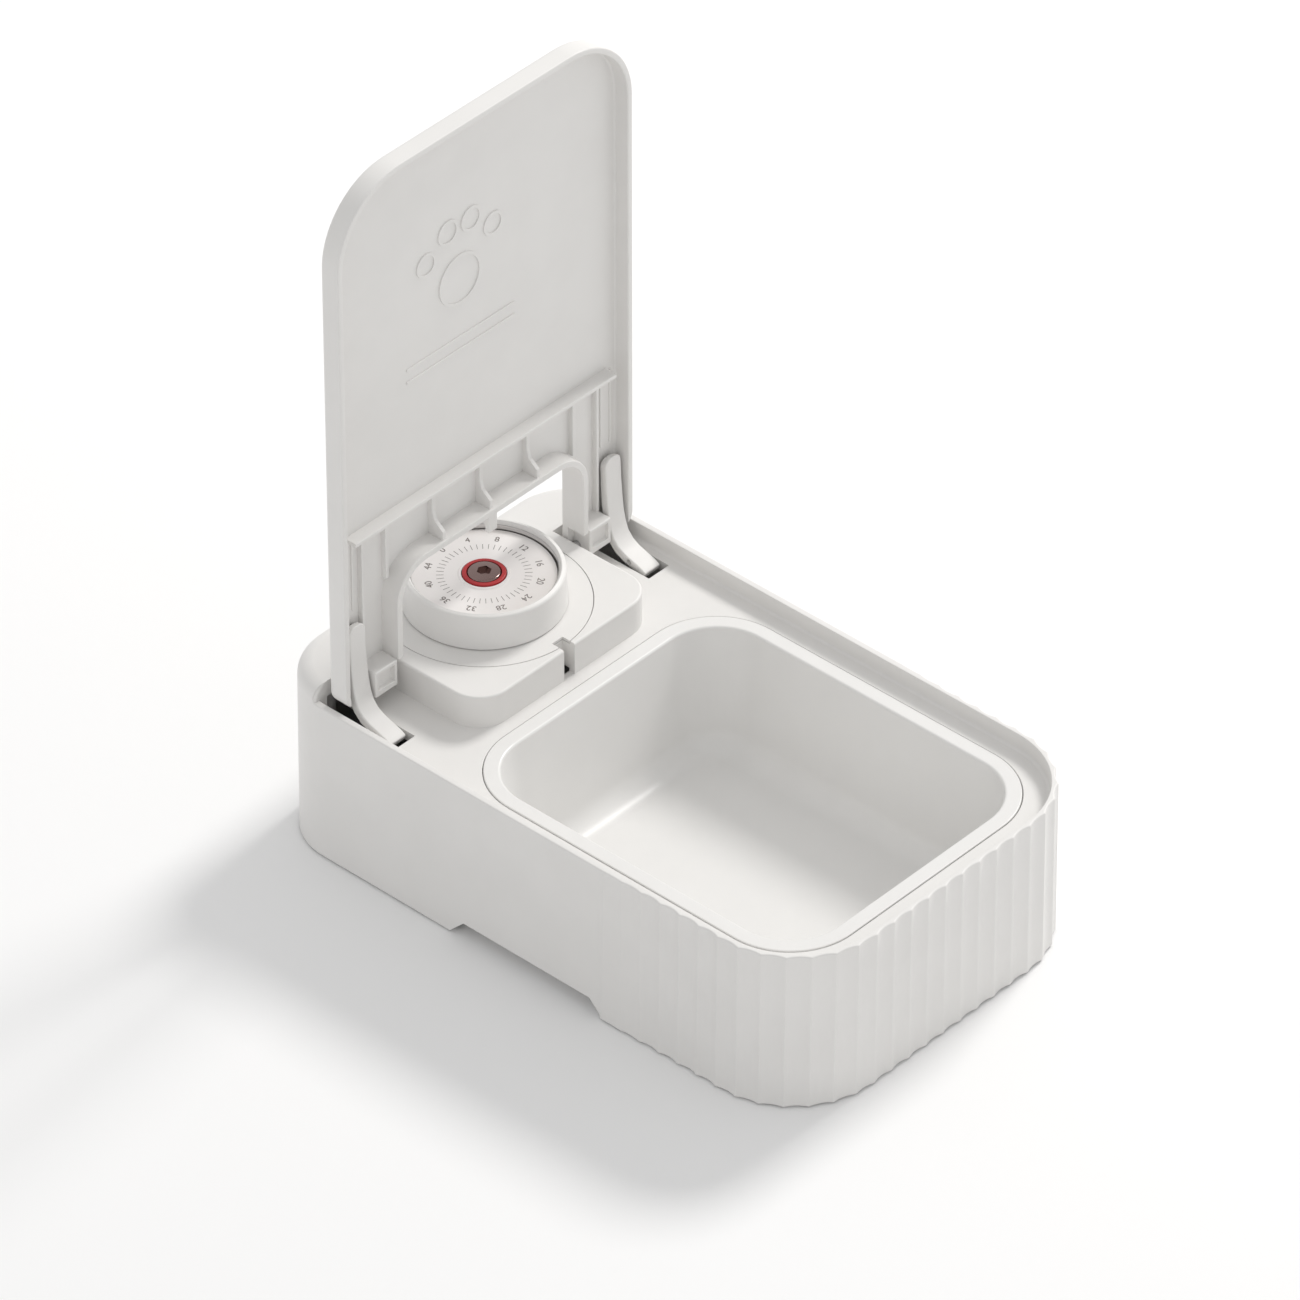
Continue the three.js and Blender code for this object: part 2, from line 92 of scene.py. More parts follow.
def start(name):
    """Names the new primitive, puts its place into its mesh and leaves it in edit mode."""
    piece = bpy.context.object
    piece.name = piece.data.name = name
    bpy.ops.object.transform_apply(location=True, rotation=True, scale=True)
    bpy.ops.object.mode_set(mode="EDIT")
    bpy.ops.mesh.select_mode(type="VERT")
    bpy.ops.mesh.select_all(action="SELECT")
    return piece


def edit_all():
    """Edit mode with the whole mesh selected."""
    bpy.ops.object.mode_set(mode="EDIT")
    bpy.ops.mesh.select_all(action="SELECT")


def pick(piece, kind, wanted):
    """Selects in edit mode the points, edges or faces that pass the test, and counts them."""
    bpy.ops.object.mode_set(mode="OBJECT")
    mesh = piece.data
    for part in (mesh.vertices, mesh.edges, mesh.polygons):
        part.foreach_set("select", [False] * len(part))
    count = 0
    if kind == "VERT":
        for point in mesh.vertices:
            point.select = wanted(point.co)
            count += point.select
    elif kind == "EDGE":
        for edge in mesh.edges:
            edge.select = wanted(*[mesh.vertices[i].co for i in edge.vertices])
            count += edge.select
    else:
        for face in mesh.polygons:
            face.select = wanted(face.center, face.normal)
            count += face.select
    bpy.ops.object.mode_set(mode="EDIT")
    bpy.ops.mesh.select_mode(type=kind)
    return count


def closed(piece):
    """Turns every face outwards and goes back to object mode."""
    bpy.ops.mesh.select_all(action="SELECT")
    bpy.ops.mesh.normals_make_consistent(inside=False)
    clear()
    return piece


print("a quarter turn is", round(math.degrees(QUARTER)), "degrees")

# %% [markdown]
# ## Outlines
# Nearly every part of a moulding is one outline carried up or down through a profile. So a
# piece starts as a plane or a disc at its true size. The corners of the plane are bevelled
# one by one, because a bevel of points with profile 0.5 leaves a true arc and each corner
# may then have a radius of its own.

# %% Outlines
FACING = {"up": (0, 0, 0), "down": (math.pi, 0, 0), "front": (QUARTER, 0, 0)}
AXES = {"up": (0, 1, 2), "down": (0, 1, 2), "front": (0, 2, 1)}


def outline(name, facing, u, v, level, corners=(), segments=16):
    """A flat face over the spans u and v. corners holds (side of u, side of v, radius)."""
    clear()
    a, b, c = AXES[facing]
    wide, tall, middle = u[1] - u[0], v[1] - v[0], [0, 0, 0]
    middle[a], middle[b], middle[c] = sum(u) / 2 * MM, sum(v) / 2 * MM, level * MM
    bpy.ops.mesh.primitive_plane_add(size=1, location=middle, rotation=FACING[facing])
    bpy.context.object.scale = (wide * MM, tall * MM, 1)
    piece = start(name)
    for side_u, side_v, radius in corners:
        pick(piece, "VERT", lambda p: abs((p[a] - middle[a]) * side_u - wide / 2 * MM) < 1e-6
             and abs((p[b] - middle[b]) * side_v - tall / 2 * MM) < 1e-6)
        bpy.ops.mesh.bevel(offset=radius * MM, segments=segments, affect="VERTICES",
                           profile=0.5)
    bpy.ops.mesh.select_mode(type="FACE")
    bpy.ops.mesh.select_all(action="SELECT")
    return piece


def disc(name, x, y, level, radius, points=96, facing="up"):
    """A round face ready to be carried."""
    clear()
    bpy.ops.mesh.primitive_circle_add(vertices=points, radius=radius * MM, fill_type="NGON",
                                      location=(x * MM, y * MM, level * MM),
                                      rotation=FACING[facing])
    piece = start(name)
    bpy.ops.mesh.select_mode(type="FACE")
    bpy.ops.mesh.select_all(action="SELECT")
    return piece


print("an outline can face", ", ".join(FACING))

# %% [markdown]
# ## Profiles
# The face is then carried on by extrude and inset, one step at a time: a wall rises, an edge
# rounds over, a floor fillet sweeps in. A profile is a list of (inwards, onwards) steps in
# millimetres, so a lip, a wall and a fillet can be strung together in one line.

# %% Profiles
WAY = {"up": (0, 0, 1), "down": (0, 0, -1), "front": (0, -1, 0), "back": (0, 1, 0)}


def carry(steps):
    """Carries the selected face on through (inwards, onwards) steps in millimetres."""
    for inwards, onwards in steps:
        if inwards:
            bpy.ops.mesh.inset(thickness=inwards * MM, depth=onwards * MM)
        else:
            bpy.ops.mesh.extrude_region_shrink_fatten(
                TRANSFORM_OT_shrink_fatten={"value": onwards * MM})


def round_over(radius, steps=5):
    """Steps for an edge that turns from a wall onto a face."""
    turns = [QUARTER * i / steps for i in range(steps + 1)]
    return [(radius * (math.cos(a) - math.cos(b)), radius * (math.sin(b) - math.sin(a)))
            for a, b in zip(turns, turns[1:])]


def lip_over(radius, steps=5):
    """Steps for an edge that turns from a face down into a hollow."""
    turns = [QUARTER * i / steps for i in range(steps + 1)]
    return [(radius * (math.sin(b) - math.sin(a)), -radius * (math.cos(a) - math.cos(b)))
            for a, b in zip(turns, turns[1:])]


def cove(radius, steps=8):
    """Steps for a fillet that turns from a wall onto the floor of a hollow."""
    return [(inwards, -onwards) for inwards, onwards in round_over(radius, steps)]


def far_face(piece, facing):
    """Selects the furthest flat face that looks the given way."""
    hold(piece)
    way = Vector(WAY[facing])
    flats = [f for f in piece.data.polygons if f.normal.dot(way) > 0.999]
    best = max(flats, key=lambda f: (round(f.center.dot(way), 6), f.area)).index
    bpy.ops.object.mode_set(mode="EDIT")
    bpy.ops.mesh.select_mode(type="FACE")
    bpy.ops.mesh.select_all(action="DESELECT")
    bpy.ops.object.mode_set(mode="OBJECT")
    piece.data.polygons[best].select = True
    bpy.ops.object.mode_set(mode="EDIT")


print("a 1 mm round in 3 steps:", [(round(i, 2), round(o, 2)) for i, o in round_over(1, 3)])

# %% [markdown]
# ## Joining and cutting
# A mould is cut from steel, and a moulding can be thought of the same way: solids are added
# for walls and taken away for wells. Boolean modifiers do both. The MANIFOLD solver is the
# one that keeps a closed mesh closed, as long as no face is too wide and flat, so large
# pieces are scored with plain cuts first.

# %% Joining and cutting
def work(piece, tool, operation):
    """Applies one boolean and removes the tool."""
    hold(piece)
    modifier = piece.modifiers.new("work", "BOOLEAN")
    modifier.operation, modifier.object, modifier.solver = operation, tool, "MANIFOLD"
    bpy.ops.object.modifier_apply(modifier=modifier.name)
    bpy.data.objects.remove(tool)
    return piece


def fuse(piece, *tools):
    for tool in tools:
        work(piece, tool, "UNION")
    return piece


def carve(piece, *tools):
    for tool in tools:
        work(piece, tool, "DIFFERENCE")
    return piece


def score(piece, x=(), y=(), z=()):
    """Scores a piece with flat cuts, so that no face is too wide to take a hole cleanly."""
    hold(piece)
    bpy.ops.object.mode_set(mode="EDIT")
    for way, places in (((1, 0, 0), x), ((0, 1, 0), y), ((0, 0, 1), z)):
        for place in places:
            bpy.ops.mesh.select_all(action="SELECT")
            bpy.ops.mesh.bisect(plane_co=[c * place * MM for c in way], plane_no=way)
    clear()
    return piece


print("two kinds of work: UNION and DIFFERENCE")

# %% [markdown]
# ## Plain tool bodies
# Most walls, slots and bores need only a box, a bar along X or an upright post. They are
# given by their spans, as a maker would read them off a drawing, and a box may have its
# edges eased so that the joint it leaves is soft too.

# %% Plain tool bodies
def block(x, y, z, soft=0.0, name="block"):
    """A box over three spans with its edges rounded by the given radius."""
    clear()
    spans = [Vector((s[0], s[1])) * MM for s in (x, y, z)]
    bpy.ops.mesh.primitive_cube_add(size=1, location=[(s[0] + s[1]) / 2 for s in spans])
    bpy.context.object.scale = [s[1] - s[0] for s in spans]
    piece = start(name)
    if soft:
        bpy.ops.mesh.bevel(offset=soft * MM, segments=3, affect="EDGES", profile=0.5)
    clear()
    return piece


def rod(x, y, z, radius, points=48):
    """A bar along X between two places."""
    clear()
    bpy.ops.mesh.primitive_cylinder_add(
        vertices=points, radius=radius * MM, depth=(x[1] - x[0]) * MM, rotation=(0, QUARTER, 0),
        location=((x[0] + x[1]) / 2 * MM, y * MM, z * MM))
    piece = start("rod")
    clear()
    return piece


def post(x, y, z, radius, points=48):
    """An upright cylinder between two heights."""
    clear()
    bpy.ops.mesh.primitive_cylinder_add(vertices=points, radius=radius * MM,
                                        depth=(z[1] - z[0]) * MM,
                                        location=(x * MM, y * MM, (z[0] + z[1]) / 2 * MM))
    piece = start("post")
    clear()
    return piece


print("tool bodies: block, rod, post")

# %% [markdown]
# ## Twins and finishing
# The feeder is the same on its left and right, so a side part is modelled once and mirrored
# with a mesh of its own. A mirror turns a shape inside out, so the copy has its faces turned
# outwards again. A finished piece is merged, smoothed by angle with weighted normals, and
# told which CAD body carries it.

# %% Twins and finishing
def twin(piece, name=None):
    """A copy with its own mesh, mirrored to the other side of the feeder."""
    hold(piece)
    bpy.ops.object.duplicate()
    copy = bpy.context.object
    copy.name = copy.data.name = name or piece.name + "_twin"
    edit_all()
    bpy.ops.transform.mirror(constraint_axis=(True, False, False), center_override=(0, 0, 0))
    bpy.ops.mesh.normals_make_consistent(inside=False)
    clear()
    return copy


def finish_mesh(piece, body, slot, *nodes, angle=32):
    """Tidies, smooths and files a finished piece."""
    bpy.context.view_layer.objects.active = piece
    piece.select_set(True)
    edit_all()
    bpy.ops.mesh.remove_doubles(threshold=2e-6)
    bpy.ops.mesh.dissolve_degenerate(threshold=1e-6)
    bpy.ops.mesh.select_all(action="SELECT")
    bpy.ops.mesh.normals_make_consistent(inside=False)
    bpy.ops.object.mode_set(mode="OBJECT")
    bpy.ops.object.shade_smooth_by_angle(angle=math.radians(angle))
    weigh = piece.modifiers.new("weigh", "WEIGHTED_NORMAL")
    weigh.keep_sharp = True
    bpy.ops.object.modifier_apply(modifier=weigh.name)
    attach(piece, body)
    if nodes:
        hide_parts(*nodes)
    print(piece.name, len(piece.data.polygons), "faces")
    clear()
    return piece


print("bench ready")

# %% [markdown]
# ## Body wall
# The body is a rounded box, wider in its corner radii at the bowl end. Its outline is used
# again and again, for the wall, the rear block and the wells, so it becomes a helper that
# can be drawn at any level and any distance inside the wall.

# %% Body wall
BODY_W, BODY_L = 148.0, 240.0
R_FRONT, R_REAR = 35.0, 25.0
WALL, RIM_ROLL, Z_EDGE, Z_RIM, Z_TRAY, Z_DECK = 2.5, 0.6, 0.8, 63.4, 56.7, 69.5


def body_outline(name, facing, level, inset=0.0, segments=20):
    half, end = BODY_W / 2 - inset, BODY_L / 2 - inset
    front, rear = R_FRONT - inset, R_REAR - inset
    return outline(name, facing, (-half, half), (-end, end), level,
                   [(-1, -1, front), (1, -1, front), (-1, 1, rear), (1, 1, rear)], segments)


shell = body_outline("housing_shell", "up", Z_EDGE)
carry([(0, Z_RIM - RIM_ROLL - Z_EDGE)])
closed(shell)
print("wall height, mm:", round(shell.dimensions.z / MM, 1))

# %% [markdown]
# ## Flutes
# The bowl end is wrapped in shallow upright hollows. A tool maker runs a ball-nosed cutter
# down the mould at an even pitch, so here a round bar is set against the wall again and again
# and taken away. The bar's radius follows from the chord and depth of a hollow, and the last
# three hollows at each end grow shallower, so the pattern fades out along the sides.

# %% Flutes
PITCH, HOLLOW, FLUTE_END, OVERLAP, FADE = 8.5, 1.0, -32.0, 1.03, 3
BAR_POINTS, BAR_SPAN = 96, (-5, 80)


def flute_places():
    """(x, y, cutter radius) for each hollow from the left side round to the right."""
    half, end = BODY_W / 2, BODY_L / 2
    side, turn = FLUTE_END + end - R_FRONT, R_FRONT * QUARTER
    run = 2 * (side + turn) + BODY_W - 2 * R_FRONT
    count = round(run / PITCH)
    chord = run / count / 2 * OVERLAP
    turn_bar = 1 / (2 * HOLLOW / chord ** 2 - 1 / R_FRONT)
    for i in range(count):
        s = (i + 0.5) * run / count
        depth = HOLLOW * min(1, (min(i, count - 1 - i) + 0.5) / FADE)
        flat_bar = (chord ** 2 + depth ** 2) / (2 * depth)
        mirror = 1 if s > run / 2 else -1
        s = min(s, run - s)
        if s < side:
            spot, outward, bar = (half, FLUTE_END - s), (1, 0), flat_bar
        elif s < side + turn:
            a = (s - side) / R_FRONT
            outward, bar = (math.cos(a), -math.sin(a)), turn_bar
            spot = (half - R_FRONT + R_FRONT * outward[0], R_FRONT - end + R_FRONT * outward[1])
        else:
            spot, outward, bar = (half - R_FRONT - (s - side - turn), -end), (0, -1), flat_bar
        lift = bar - depth
        yield mirror * (spot[0] + lift * outward[0]), spot[1] + lift * outward[1], bar


hollows = list(flute_places())
for x, y, bar in hollows:
    work(shell, post(x, y, BAR_SPAN, bar, BAR_POINTS), "DIFFERENCE")
print(len(hollows), "hollows cut")

# %% [markdown]
# ## Ridges and rim
# The ridges left between the hollows would be knife edges, so they are eased with a small
# bevel. Only upright edges whose two faces meet at a clear angle are ridges: the others are
# facets of the hollows. Then the points of the top edge that lie too close for the roll are
# merged, and the rim is rolled over.

# %% Ridges and rim
RIDGE_EASE, RIDGE_ANGLE, RIM_MERGE = 0.45, 0.45, 0.21


def upright(a, b):
    return (a.xy - b.xy).length < 1e-5


def spot_of(point):
    return tuple(round(c, 7) for c in point.xy)


def select_ridges(piece):
    """Selects the tall upright edges of the fluted end whose faces meet at an angle."""
    sides = {}
    for face in piece.data.polygons:
        for key in face.edge_keys:
            sides.setdefault(key, []).append(face.normal)
    sharp = set()
    for key, normals in sides.items():
        a, b = (piece.data.vertices[i].co for i in key)
        if upright(a, b) and normals[0].angle(normals[-1], 0) > RIDGE_ANGLE:
            sharp.add(spot_of(a))
    return pick(piece, "EDGE", lambda a, b: upright(a, b) and abs(a.z - b.z) > Z_RIM / 2 * MM
                and a.y < (FLUTE_END + 1) * MM and spot_of(a) in sharp)


hold(shell)
ridges = select_ridges(shell)
bpy.ops.mesh.bevel(offset=RIDGE_EASE * MM, segments=3, affect="EDGES", profile=0.5)
bpy.ops.mesh.select_all(action="SELECT")
bpy.ops.mesh.remove_doubles(threshold=RIM_MERGE * MM)
far_face(shell, "up")
carry(round_over(RIM_ROLL))
closed(shell)
print(ridges, "ridges eased")

# %% [markdown]
# ## Rear block, well and timer deck
# Behind the lid the body rises into a block with generous round edges. In front of it the
# tray lies a few millimetres below the rim, and the timer deck stands up in the middle.
# Each is its own solid with its own fillets, joined to the wall or taken out of it. The
# scoring lines lie a little off the round numbers, so that no two cuts fall together.

# %% Rear block and well
BLOCK_FRONT, BLOCK_ROLL = 98.0, 5.5
DECK_HALF, DECK_FRONT, DECK_REAR, DECK_R, DECK_ROLL = 43.4, 50.75, 108, 12.0, 0.9
ROOT_Z = 50  # where solids that stand on the body begin, inside it


def soft_front_edge(piece, y, z, radius):
    pick(piece, "EDGE", lambda a, b: abs(a.y - y * MM) < 1e-6 and abs(b.y - y * MM) < 1e-6
         and min(a.z, b.z) > z * MM)
    bpy.ops.mesh.bevel(offset=radius * MM, segments=4, affect="EDGES", profile=0.5)


def sliced(piece, y, keep_rear=True):
    """Cuts a piece across at y, keeps one side and closes the cut."""
    bpy.ops.mesh.select_all(action="SELECT")
    bpy.ops.mesh.bisect(plane_co=(0, y * MM, 0), plane_no=(0, 1, 0), use_fill=True,
                        clear_inner=keep_rear, clear_outer=not keep_rear)


rear_block = body_outline("rear_block", "up", 40)
carry([(0, Z_DECK - BLOCK_ROLL - 40), *round_over(BLOCK_ROLL, 8)])
sliced(rear_block, BLOCK_FRONT)
soft_front_edge(rear_block, BLOCK_FRONT, ROOT_Z, 1.6)
closed(rear_block)
fuse(shell, rear_block)
score(shell, (-40.3, -0.7, 40.3), (-80.3, -30.3, 20.3, 70.3))

WELL_ROLL, WELL_COVE = 0.35, 1.2
well = body_outline("well", "down", Z_RIM + 1.0, WALL - WELL_ROLL)
carry([(0, 1.0), *[(i, -d) for i, d in lip_over(WELL_ROLL, 4)],
       (0, Z_RIM - Z_TRAY - WELL_ROLL - WELL_COVE), *round_over(WELL_COVE, 4)])
sliced(well, BLOCK_FRONT, keep_rear=False)
closed(well)
score(well, (-50.7, -20.7, 20.7, 50.7), (-80.7, -30.7, 20.7, 47.7, 60.7))
carve(shell, well)

deck = outline("deck", "up", (-DECK_HALF, DECK_HALF), (DECK_FRONT, DECK_REAR), ROOT_Z,
               [(-1, -1, DECK_R), (1, -1, DECK_R)], 12)
carry([(0, Z_DECK - DECK_ROLL - ROOT_Z), *round_over(DECK_ROLL, 4)])
closed(deck)
score(deck, (-20.7, -1.1, 20.7), (65.7, 89.7))
fuse(shell, deck)
print("rear block to", Z_DECK, "mm, tray at", Z_TRAY, "mm")

# %% [markdown]
# ## Openings in the body
# The body is hollow under its tray and deck. The bowl drops into a stepped hole, the lift
# arms pass through two slots, and a notch in the front of the deck gives the lid catch its
# way in. Four pillars hold the base screws. All are plain tool bodies, added or taken away.

# %% Openings in the body
SEAM_HALF, SEAM_FRONT, SEAM_REAR, SEAM_R = 64.7, -108.3, 45.6, 27.0
KNOB_Y = 89.45
PILLARS = [(s * x, y) for x, y in ((66, -58), (60, 107)) for s in (-1, 1)]
PILLAR_R, SCREW_BORE, PILLAR_FOOT = 4, 1.8, 6.6
SLOT_X, SLOT_Y, SLOT_TOP = (57.6, 67.7), (67.4, 102), 63.2
CATCH_X, CATCH_Y = (-2.6, 2.6), (40, 56.3)
LATCH_X, LATCH_Y, LATCH_Z = (-1.8, 1.8), (50, 64), (61.4, 64.2)


def seam_outline(name, facing, level, inset=0.0, segments=20):
    r = SEAM_R - inset
    return outline(name, facing, (-SEAM_HALF + inset, SEAM_HALF - inset),
                   (SEAM_FRONT + inset, SEAM_REAR - inset), level,
                   [(a, b, r) for a in (-1, 1) for b in (-1, 1)], segments)


room = body_outline("room", "up", -2, WALL)
carry([(0, Z_TRAY - 4 + 2)])
closed(room)
upper_room = body_outline("upper_room", "up", 40, WALL)
carry([(0, Z_DECK - WALL - 40)])
sliced(upper_room, BLOCK_FRONT + WALL)
closed(upper_room)
deck_room = outline("deck_room", "up", (WALL - DECK_HALF, DECK_HALF - WALL),
                    (DECK_FRONT + WALL, 106), 40, [(-1, -1, 9.5), (1, -1, 9.5)], 10)
carry([(0, Z_DECK - WALL - 40)])
closed(deck_room)
carve(shell, room, upper_room, deck_room)

step = seam_outline("step", "down", Z_TRAY + 1.0, -0.25)
carry([(0, 1.0), (0.1, 0.05), (0.1, 0.1), (0.05, 0.1), (0, 1.45)])
closed(step)
hole = seam_outline("hole", "up", 40, 3.4)
carry([(0, 20)])
closed(hole)
carve(shell, step, hole)
for s in (-1, 1):
    carve(shell, block(sorted(s * x for x in SLOT_X), SLOT_Y, (40, SLOT_TOP), 0.4))
fuse(shell, block((-6, 6), (DECK_FRONT + 0.5, 60), (58, Z_DECK - 1)))
for x, y in PILLARS:
    fuse(shell, post(x, y, (PILLAR_FOOT, Z_DECK - 2 if y > 90 else Z_TRAY - 2), PILLAR_R))
carve(shell, block(CATCH_X, CATCH_Y, (Z_TRAY, 80)), block(LATCH_X, LATCH_Y, LATCH_Z))
print("openings cut; shell has", len(shell.data.polygons), "faces")

# %% [markdown]
# ## Finger recesses
# Low on each side the wall is cut away and boxed in again behind, so the feeder can be
# lifted with the fingertips. A flat prism with sloping ends is drawn by pulling in the top
# corners of a box: one size larger for the boxing, one size smaller for the cut.

# %% Finger recesses
NOTCH, NOTCH_Z, NOTCH_RAMP, BOXING = (-25.9, 30.8), 6.3, 5.6, 1.8
COVER_TOP = 1.6


def recess(x, height, name):
    """A box with sloping ends between two X places, open to the floor."""
    piece = block(x, (NOTCH[0] - NOTCH_RAMP, NOTCH[1] + NOTCH_RAMP), (Z_EDGE, height),
                  name=name)
    hold(piece)
    middle = sum(NOTCH) / 2 * MM
    pick(piece, "VERT", lambda p: p.z > (height - 0.1) * MM)
    shrink = (NOTCH[1] - NOTCH[0]) / (NOTCH[1] - NOTCH[0] + 2 * NOTCH_RAMP)
    bpy.ops.transform.resize(value=(1, shrink, 1), center_override=(0, middle, height * MM))
    pick(piece, "FACE", lambda c, n: n.z < -0.9)
    bpy.ops.mesh.extrude_region_move(TRANSFORM_OT_translate={"value": (0, 0, -4 * MM)})
    return closed(piece)


for s in (-1, 1):
    boxed = recess(sorted((s * (62.1 - BOXING), s * 73.0)), NOTCH_Z + BOXING, "boxed")
    hold(boxed)
    edit_all()
    bpy.ops.mesh.bisect(plane_co=(0, 0, COVER_TOP * MM), plane_no=(0, 0, 1), use_fill=True,
                        clear_inner=True)
    closed(boxed)
    fuse(shell, boxed)
    carve(shell, recess(sorted((s * 62.1, s * 90)), NOTCH_Z, "recess"))

print("recesses cut; shell has", len(shell.data.polygons), "faces")

# %% [markdown]
# ## Bores and seats
# The last cuts are round: screw bores up into the pillars, a shallow seat in the deck for
# the seal plate with a hole for the timer, and the bores of the hinge pins, which widen
# inside for the springs. The seat is cut off straight at the back, where the deck ends.

# %% Bores and seats
SEAL_R, SEAL_END, SEAL_GAP = 36.5, 114, 0.3
HINGE_Y, HINGE_Z, PIN_BORE, SPRING_BORE = 90.55, 65.2, 1.6, 3
for x, y in PILLARS:
    carve(shell, post(x, y, (0, 20), SCREW_BORE, 24))
seat = disc("seat", 0, KNOB_Y, Z_DECK - 1.2, SEAL_R + SEAL_GAP, 160)
carry([(0, 8)])
sliced(seat, SEAL_END + SEAL_GAP, keep_rear=False)
closed(seat)
carve(shell, seat, post(0, KNOB_Y, (60, 80), 12))
for s in (-1, 1):
    carve(shell, rod(sorted((s * 38, s * 46)), HINGE_Y, HINGE_Z, PIN_BORE),
          rod(sorted((s * 37, s * 40.9)), HINGE_Y, HINGE_Z, SPRING_BORE))
print("shell has", len(shell.data.polygons), "faces")

# %% [markdown]
# ## The flare
# The side walls lean out by less than a millimetre towards the floor, the draft that lets
# the moulding leave its tool. The lowest ring of points is scaled in X, and because the
# walls are single tall faces they all lean with it.

# %% Flare of the walls
FLARE = 0.0095 * (1 - Z_EDGE / Z_RIM)


def on_outer_edge(p):
    """A point of the lowest ring that belongs to the outer skin."""
    if abs(p.z - Z_EDGE * MM) > 2e-5:
        return False
    beyond = math.hypot(max(0, abs(p.x) - 39 * MM), max(0, -85 * MM - p.y))
    return (abs(p.x) > 71.8 * MM or p.y < -117.7 * MM or p.y > 90 * MM
            or (p.y < 0 and beyond > 32.6 * MM))


hold(shell)
pick(shell, "VERT", on_outer_edge)
bpy.ops.transform.resize(value=(1 + FLARE, 1, 1), center_override=(0, 0, 0))
clear()
finish_mesh(shell, "housing", "white_plastic", "main_housing", angle=30)
print("body box, mm:", [round(v / MM, 1) for v in shell.dimensions])

# %% [markdown]
# ## Bowl
# The bowl is a deep tub with a flat flange that rests in the stepped hole. It is thrown in
# one go: the flange face is carried inwards, over the lip, down the drafted wall and
# through a wide cove onto the floor, and the underside is carried down in the same way.

# %% Bowl
BOWL_TOP, BOWL_FLOOR, FLANGE, FLANGE_Z, BOWL_T = 57.0, 10.5, 6.2, 55.3, 2.0
GAP, EDGE_R, LIP, BOWL_COVE, DRAFT = 0.3, 0.45, 1.1, 9.0, 5.2
bowl = seam_outline("bowl", "up", FLANGE_Z, GAP, 24)
carry([(0, BOWL_TOP - EDGE_R - FLANGE_Z)])
closed(bowl)
far_face(bowl, "down")
carry([(FLANGE - BOWL_T - GAP, 0), (DRAFT - GAP, FLANGE_Z - BOWL_FLOOR - BOWL_COVE),
       *round_over(BOWL_COVE + 1, 7)])
far_face(bowl, "up")
carry([*round_over(EDGE_R, 4), (FLANGE - GAP - EDGE_R - LIP, 0), *lip_over(LIP, 6)])
wall_drop = BOWL_TOP - LIP - BOWL_FLOOR - BOWL_COVE
carry([(DRAFT, -wall_drop), *cove(BOWL_COVE, 8), (6, 0)])
closed(bowl)
finish_mesh(bowl, "housing", "bowl_plastic", "food_bowl", angle=35)

# %% [markdown]
# ## Lid
# The lid is a shallow pan stood on edge: a plate with a skirt all round, its outer edge
# rolled generously and its inner edge only eased. It starts as a rounded outline facing
# the bowl. The face behind is carried back into the plate, the face in front is carried
# forward into the lip and then in to the plate.

# %% Lid pan
LID_HALF, LID_TOP, LID_FOOT, LID_R = 70.4, 271.8, 64.0, 30.0
LID_BACK, LID_PLATE, LID_SKIRT, SKIRT_T = 94.85, 2.5, 86.3, 2.3
LID_ROLL, SKIRT_EASE, LID_COVE, FOOT_R = 2.6, 0.5, 0.9, 5
INNER = LID_BACK - LID_PLATE
lid = outline("lid_shell", "front", (-LID_HALF, LID_HALF), (LID_FOOT, LID_TOP),
              LID_BACK - LID_ROLL,
              [(-1, -1, FOOT_R), (1, -1, FOOT_R), (-1, 1, LID_R), (1, 1, LID_R)], 20)
carry([(0, LID_BACK - LID_ROLL - LID_SKIRT - SKIRT_EASE)])
closed(lid)
far_face(lid, "back")
carry(round_over(LID_ROLL, 7))
far_face(lid, "front")
carry([*round_over(SKIRT_EASE, 3), (SKIRT_T - 2 * SKIRT_EASE, 0), *lip_over(SKIRT_EASE, 3)])
carry([(0, -(INNER - LID_SKIRT - SKIRT_EASE - LID_COVE)), *cove(LID_COVE, 4)])
closed(lid)
score(lid, (-50.7, -20.7, -0.7, 20.7, 50.7), (), (75.3, 100.7, 140.7, 200.7))
carve(lid, block((-LID_HALF + SKIRT_T, LID_HALF - SKIRT_T), (80, INNER), (50, 72)))
print("lid pan:", [round(v / MM, 1) for v in lid.dimensions])

# %% [markdown]
# ## Window rim, shelf and fins
# A window with its own rim lets the lid close over the timer. Above it a shelf runs across
# the lid, held by five fins. The three fins over the window sweep forward at the foot to
# meet its rim: such a fin is a blade cut across at three heights, whose lowest points are
# pulled towards the timer.

# %% Window frame and shelf
WIN_HALF, WIN_TOP, WIN_R, WIN_T, WIN_FRONT = 44.4, 107.5, 12.0, 2.3, 84.85
RIB_TOP, RIB_FRONT, RIB_T, RIB_HALF, FIN_FRONT = 129.7, 87.3, 1.5, 63.5, 90.3
LUG, LUG_TOP, LUG_R = (47.2, 57.8), 73.7, 4.6


def arch(name, grow, front, back, low, edge=0.0):
    piece = outline(name, "front", (-WIN_HALF - grow, WIN_HALF + grow), (low, WIN_TOP + grow),
                    back, [(-1, 1, WIN_R + grow), (1, 1, WIN_R + grow)], 12)
    carry([(0, back - front - edge), *(round_over(edge, 3) if edge else [])])
    return closed(piece)


fuse(lid, arch("window_rim", WIN_T, WIN_FRONT, INNER + 0.5, LUG_TOP - 0.5, 0.4))
fuse(lid, block((-RIB_HALF, RIB_HALF), (RIB_FRONT, INNER + 0.5), (RIB_TOP - RIB_T, RIB_TOP),
                0.3))


